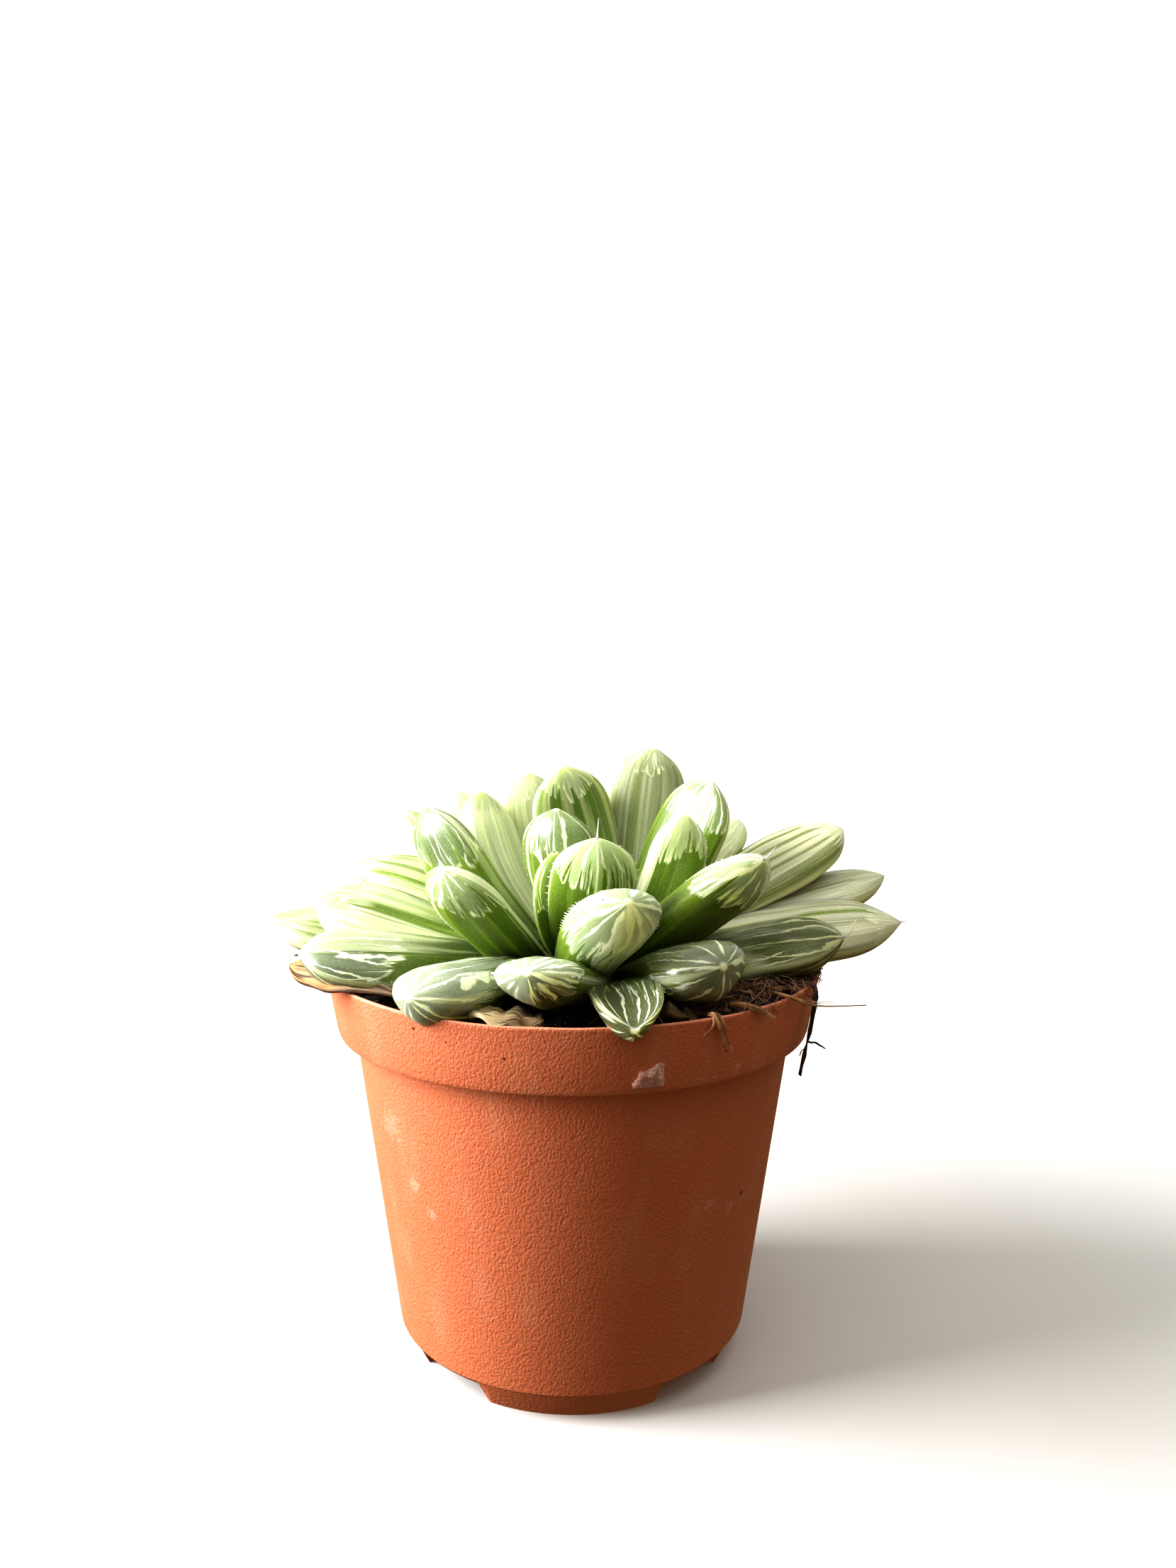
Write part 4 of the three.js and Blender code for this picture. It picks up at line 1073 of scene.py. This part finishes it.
for number in range(1250):
    heaped = number < 850
    radius = 38.8 - abs(chance.gauss(0, 7)) if heaped else 38 * math.sqrt(chance.uniform(0.1, 1))
    angle = chance.gauss(-0.3, 0.42) if heaped else chance.uniform(0, math.tau)
    x, y = radius * math.cos(angle), radius * math.sin(angle)
    flat = chance.uniform(0, math.tau)
    path = wander(Vector((x, y, 0)), Vector((math.cos(flat), math.sin(flat), 0)), chance.uniform(2, 6.5), 0.28, 5)
    lift = chance.uniform(0, 1.0) if heaped else chance.uniform(0, 0.4)
    kept = []
    for spot in path:
        away = max(1, math.hypot(spot.x, spot.y) / 39.6)
        spot = Vector((spot.x / away, spot.y / away, 0))
        bump = noise.noise(spot * 0.8 + Vector((number, 0, 0))) * 0.5
        kept.append(Vector((spot.x, spot.y, crumbly(spot.x, spot.y) + 0.1 + lift + bump * lift)))
    thin = chance.choice((0.05, 0.08, 0.12, 0.2))
    add_fibre(kept, [thin * 0.6, thin, thin, thin * 0.8, thin * 0.3])
print("faces of the fibres on the soil:", len(fibres.faces))

# %% Let fibres spill over the lip
for _ in range(170):
    angle = chance.gauss(-0.27, 0.2)
    rise = abs(chance.gauss(0, 0.8))
    out, side = chance.uniform(41.6, 42.9), angle + chance.gauss(0, 0.12)
    drop = abs(chance.gauss(0, 0.9)) * (chance.random() < 0.6)
    points = [(36.5 + chance.uniform(-1, 3), angle, 67 + rise), (40.5, (angle + side) / 2, 67.1 + rise),
              (out, side, 67 + rise * 0.6 - drop * 0.4), (out + chance.uniform(-0.5, 0.4), side + 0.02, 66.8 - drop)]
    path = smooth_path([Vector((away * math.cos(turn), away * math.sin(turn), high))
                        for away, turn, high in points], 3)
    thin = chance.choice((0.06, 0.09, 0.14))
    add_fibre(path, [thin * (1.1 - 0.7 * step / len(path)) for step in range(len(path))])
finish_piece("soil_fibres", fibres, fibre_finish("root_fibre", (156, 113, 76), (70, 48, 33)))

# %% [markdown]
# ## Straws
# Single straws hang over the lip. They are flat and split at the end, so each is a
# flattened strand with finer hairs beside it, which drift away from it along the way. A
# straw is given by its radius, its number of hairs and the points that it passes.

# %% Lay the straws
straws = {
    "fibre_front_1": (0.5, 4, [(20.2, -35.2, 66.9), (20.5, -36.8, 67.35), (21, -37.3, 66.4), (21.8, -37, 64),
                               (22.6, -36.4, 61.3)]),
    "fibre_front_2": (0.3, 3, [(20.8, -34.6, 66.9), (21.1, -36.5, 67.35), (21.7, -37.2, 66.4), (22.5, -36.8, 64),
                               (23.4, -36.1, 61.4)]),
    "fibre_front_3": (0.28, 4, [(19.8, -35.4, 66.9), (20.3, -37, 67.3), (20.4, -37.8, 66.4), (19.9, -38.2, 65.6),
                                (18.9, -38.6, 64.9)]),
    "fibre_right_1": (0.55, 9, [(23.4, -32, 67.5), (25.4, -33.4, 67.8), (27, -33.2, 67.3), (28.9, -32, 66.2),
                                (30.6, -30.9, 65)]),
    "fibre_right_long": (0.36, 7, [(31, -26, 67.8), (33.3, -27, 67.4), (36, -25.6, 66.2), (39.4, -23.2, 65.2),
                                   (46, -22, 65.1)]),
}
straw_skin = fibre_finish("straw", (208, 160, 110), (146, 104, 66), 0.55)
for name, (radius, hairs, points) in straws.items():
    shape = bmesh.new()
    path = smooth_path([Vector(point) for point in points], 5)
    for hair in range(hairs):
        drift = Vector([chance.uniform(-1, 1) for _ in range(3)]) * radius * 0.9
        share = 1 if hair == 0 else chance.uniform(0.55, 0.95)
        count = max(4, round(len(path) * share))
        frayed = [spot + drift * (0.35 + 0.9 * step / len(path)) for step, spot in enumerate(path[:count])]
        thin = radius * (0.9 if hair == 0 else chance.uniform(0.25, 0.5))
        sweep(shape, frayed, [thin * (1 - 0.6 * step / count) for step in range(count)], sides=6, flat=0.6)
    finish_piece(name + "_straw", shape, straw_skin, name)

# %% [markdown]
# ## Bark
# A torn strip of bark hangs from the lip down past the collar. It is one thick strand of
# uneven radius with three split twigs, and a noise moves every point a little, so that no
# edge stays straight.

# %% Hang the bark
bark = bmesh.new()
path = smooth_path([Vector(point) for point in
                    [(36.4, -18.4, 67.2), (38.3, -20.2, 67.1), (38.4, -20.6, 64), (36.4, -20, 52.6)]], 7)
radii = [0.6 + 0.34 * noise.noise(Vector((0, 0, step * 0.8))) - 0.2 * (step / len(path)) ** 3
         for step in range(len(path))]
sweep(bark, path, radii, sides=8, flat=0.6)
twigs = [((37.4, -20.6, 58.4), (40.3, -21, 57.2), 0.2), ((37.2, -20.6, 57.6), (36, -21.4, 56.2), 0.14),
         ((38.4, -21, 65), (36.6, -22.5, 66.4), 0.16)]
for start, end, thin in twigs:
    start, end = Vector(start), Vector(end)
    twig = smooth_path([start, start.lerp(end, 0.5) + Vector((0, 0, 0.3)), end], 3)
    sweep(bark, twig, [thin * (1 - 0.08 * step) for step in range(len(twig))], sides=5)
for vert in bark.verts:
    vert.co += noise.noise_vector(vert.co * 1.3) * 0.22
finish_piece("bark_strip_torn", bark, fibre_finish("bark", (66, 46, 34), (22, 15, 12), 0.85), "bark_strip")

# %% [markdown]
# ## Tape
# A torn scrap of clear tape still sticks to the collar. It begins as one face with the
# torn outline, in degrees round the pot and millimetres of height. Its border is frayed by
# a subdivision with a random offset, two insets give it inner rows, and then it is bent
# onto the cone of the collar and given its thickness. The film is clear with a frosted
# edge, so the pot shows through it.

# %% Stick on the tape
tape_corners = [(12.1, 57.6), (11.9, 58.4), (12.9, 59.1), (13.3, 60.1), (15.4, 60.4),
                (17.2, 61.4), (18.3, 61.1), (18.4, 59.5), (18.9, 58.4), (18.3, 57.6)]
collar_low, collar_high = (40.75, 57.3), (42.5, 66.6)
collar_slope = (collar_high[0] - collar_low[0]) / (collar_high[1] - collar_low[1])
above_collar = 0.3
tape = bmesh.new()
tape.faces.new([tape.verts.new((degrees, height, 0)) for degrees, height in tape_corners])
bmesh.ops.subdivide_edges(tape, edges=tape.edges[:], cuts=3, use_grid_fill=False, fractal=0.12, seed=4)
bmesh.ops.inset_region(tape, faces=tape.faces[:], thickness=0.14, use_even_offset=True)
bmesh.ops.inset_region(tape, faces=[max(tape.faces, key=lambda face: face.calc_area())], thickness=0.5,
                       use_even_offset=True)
bmesh.ops.triangulate(tape, faces=[face for face in tape.faces if len(face.verts) > 4])
film = tape.verts.layers.float.new("film")
for vert in tape.verts:
    vert[film] = 1.0 if vert.is_boundary else 0.0
    degrees, height = vert.co.x, vert.co.y
    crease = noise.noise(Vector((degrees * 0.9, height * 0.9, 3))) * 0.12
    radius = collar_low[0] + collar_slope * (height - collar_low[1]) + above_collar + crease
    turned = math.radians(degrees)
    vert.co = Vector((radius * math.sin(turned), -radius * math.cos(turned), height))
bmesh.ops.recalc_face_normals(tape, faces=tape.faces)
bmesh.ops.solidify(tape, geom=tape.faces[:], thickness=0.1)
bmesh.ops.recalc_face_normals(tape, faces=tape.faces)


def tape_finish():
    mix = Finish("clear_tape")
    place = mix.millimetres()
    dust = mix.grain(place, 2.4, 4.0)
    colour = mix.blend(mix.rise(dust, 0.4, 0.7), paint(196, 140, 122), paint(226, 190, 178))
    mix.relief(mix.grain(mix.stretch(place, (1, 1, 0.3)), 1.4, 3.0), 0.25, 0.6)
    dusty = mix.times(mix.rise(dust, 0.35, 0.75), 0.26)
    shown = mix.calc("MULTIPLY_ADD", mix.attribute("film", "Fac"), 0.34, dusty)
    return mix.set(Base_Color=colour, Roughness=0.3, Alpha=mix.calc("ADD", shown, 0.14))


finish_piece("tape_scrap", tape, tape_finish(), "tape_remnant")

# %% [markdown]
# ## Stem
# Almost nothing of the stem shows between the leaves, but it holds them, so it is there:
# a short spun column, ringed where older leaves have fallen.

# %% Turn the stem
stem_outline = [(0, 50), (6, 50), (7.4, 53), (8, 56), (7.6, 58), (8, 60), (7.7, 62), (8, 64), (7.2, 67),
                (6, 70), (3, 71.2), (0, 71.5)]
stem = spun(stem_outline, 36)
for vert in stem.verts:
    vert.co += noise.noise_vector(vert.co * 0.4) * 0.4
    vert.co += Vector((stem_x, stem_y, 0))
finish_piece("stem_column", stem, fibre_finish("stem_skin", (120, 116, 66), (74, 62, 40)), "stem")

# %% [markdown]
# ## Floor and light
# The plant stands in a bright, pale room with a window at its left: one large soft light
# comes from the left and a little from the front, and a weak one from above and in front
# lifts the shaded side. The surroundings look white to the camera, but they light the
# plant only softly and warmly from the front, and more strongly from behind and above,
# which makes the leaves glow at their edges. The floor has a painted glow that grows with
# distance, so it fades to white.

# %% Lay the floor
floor_radius_mm, glow_from, glow_to = 2500, 60, 420
ground = bmesh.new()
bmesh.ops.create_circle(ground, cap_ends=True, segments=96, radius=floor_radius_mm)
bmesh.ops.scale(ground, vec=(MM, MM, MM), verts=ground.verts)
ground_mesh = bpy.data.meshes.new("studio_floor")
ground.to_mesh(ground_mesh)
ground.free()
floor = bpy.data.objects.new("studio_floor", ground_mesh)
bpy.context.scene.collection.objects.link(floor)
floor.visible_diffuse = False
floor.visible_glossy = False
pale = Finish("pale_floor")
spot = pale.millimetres()
tone = pale.grain(spot, 0.02, 3.0)
# Painted glow: the floor's own white emission grows with distance from the centre, so the floor fades into the white
# surroundings.
floor.data.materials.append(pale.set(
    Base_Color=pale.blend(tone, paint(200, 195, 188), paint(208, 204, 198)), Roughness=0.8,
    Emission_Color=(1, 1, 1, 1), Emission_Strength=pale.rise(pale.away(spot), glow_from, glow_to)))

# %% Surround the scene
front_glow, back_glow, floor_glow = (0.205, 0.17, 0.1, 1), (0.66, 0.66, 0.64, 1), (0.14, 0.105, 0.05, 1)
seen_white = 1.05
world = bpy.data.worlds.new("soft_room")
world.use_nodes = True
bpy.context.scene.world = world
room = Tray(world.node_tree)
heading = room.split(room.add("TexCoord", {}).outputs["Generated"])
behind = room.calc("MAXIMUM", room.rise(heading[1], -0.35, 0.7), room.rise(heading[2], 0.2, 0.85))
sky = room.blend(behind, front_glow, back_glow)
glow = room.blend(room.rise(heading[2], -0.15, 0.2), floor_glow, sky)
lit = room.tree.nodes["Background"]
room.feed(lit.inputs["Color"], glow)
seen = room.add("Background", {"Color": (1, 1, 1, 1), "Strength": seen_white})
choose = room.add("MixShader", {0: room.add("LightPath", {}).outputs["Is Camera Ray"],
                                1: lit.outputs[0], 2: seen.outputs[0]})
room.feed(room.tree.nodes["World Output"].inputs["Surface"], choose.outputs[0])


# %% Hang the lights
def hang_light(name, place, aim, size, power, colour):
    lamp = bpy.data.lights.new(name, "AREA")
    lamp.shape = "RECTANGLE"
    lamp.size, lamp.size_y = size
    lamp.energy = power
    lamp.color = colour
    light = bpy.data.objects.new(name, lamp)
    bpy.context.scene.collection.objects.link(light)
    light.location = place
    light.rotation_euler = (Vector(aim) - Vector(place)).to_track_quat("-Z", "Y").to_euler()
    print(f"{name}: {power} W, {round((Vector(aim) - Vector(place)).length, 2)} m away")


hang_light("window_light", (-0.47, -0.06, 0.28), (0, 0, 0.06), (0.34, 0.4), 10.6, (0.985, 1, 1.04))
hang_light("ceiling_light", (0.12, -0.2, 0.75), (0, 0, 0.08), (0.5, 0.5), 1.1, (1, 1, 0.97))
bpy.context.scene.view_settings.view_transform = "Standard"
bpy.context.scene.view_settings.look = "Medium High Contrast"
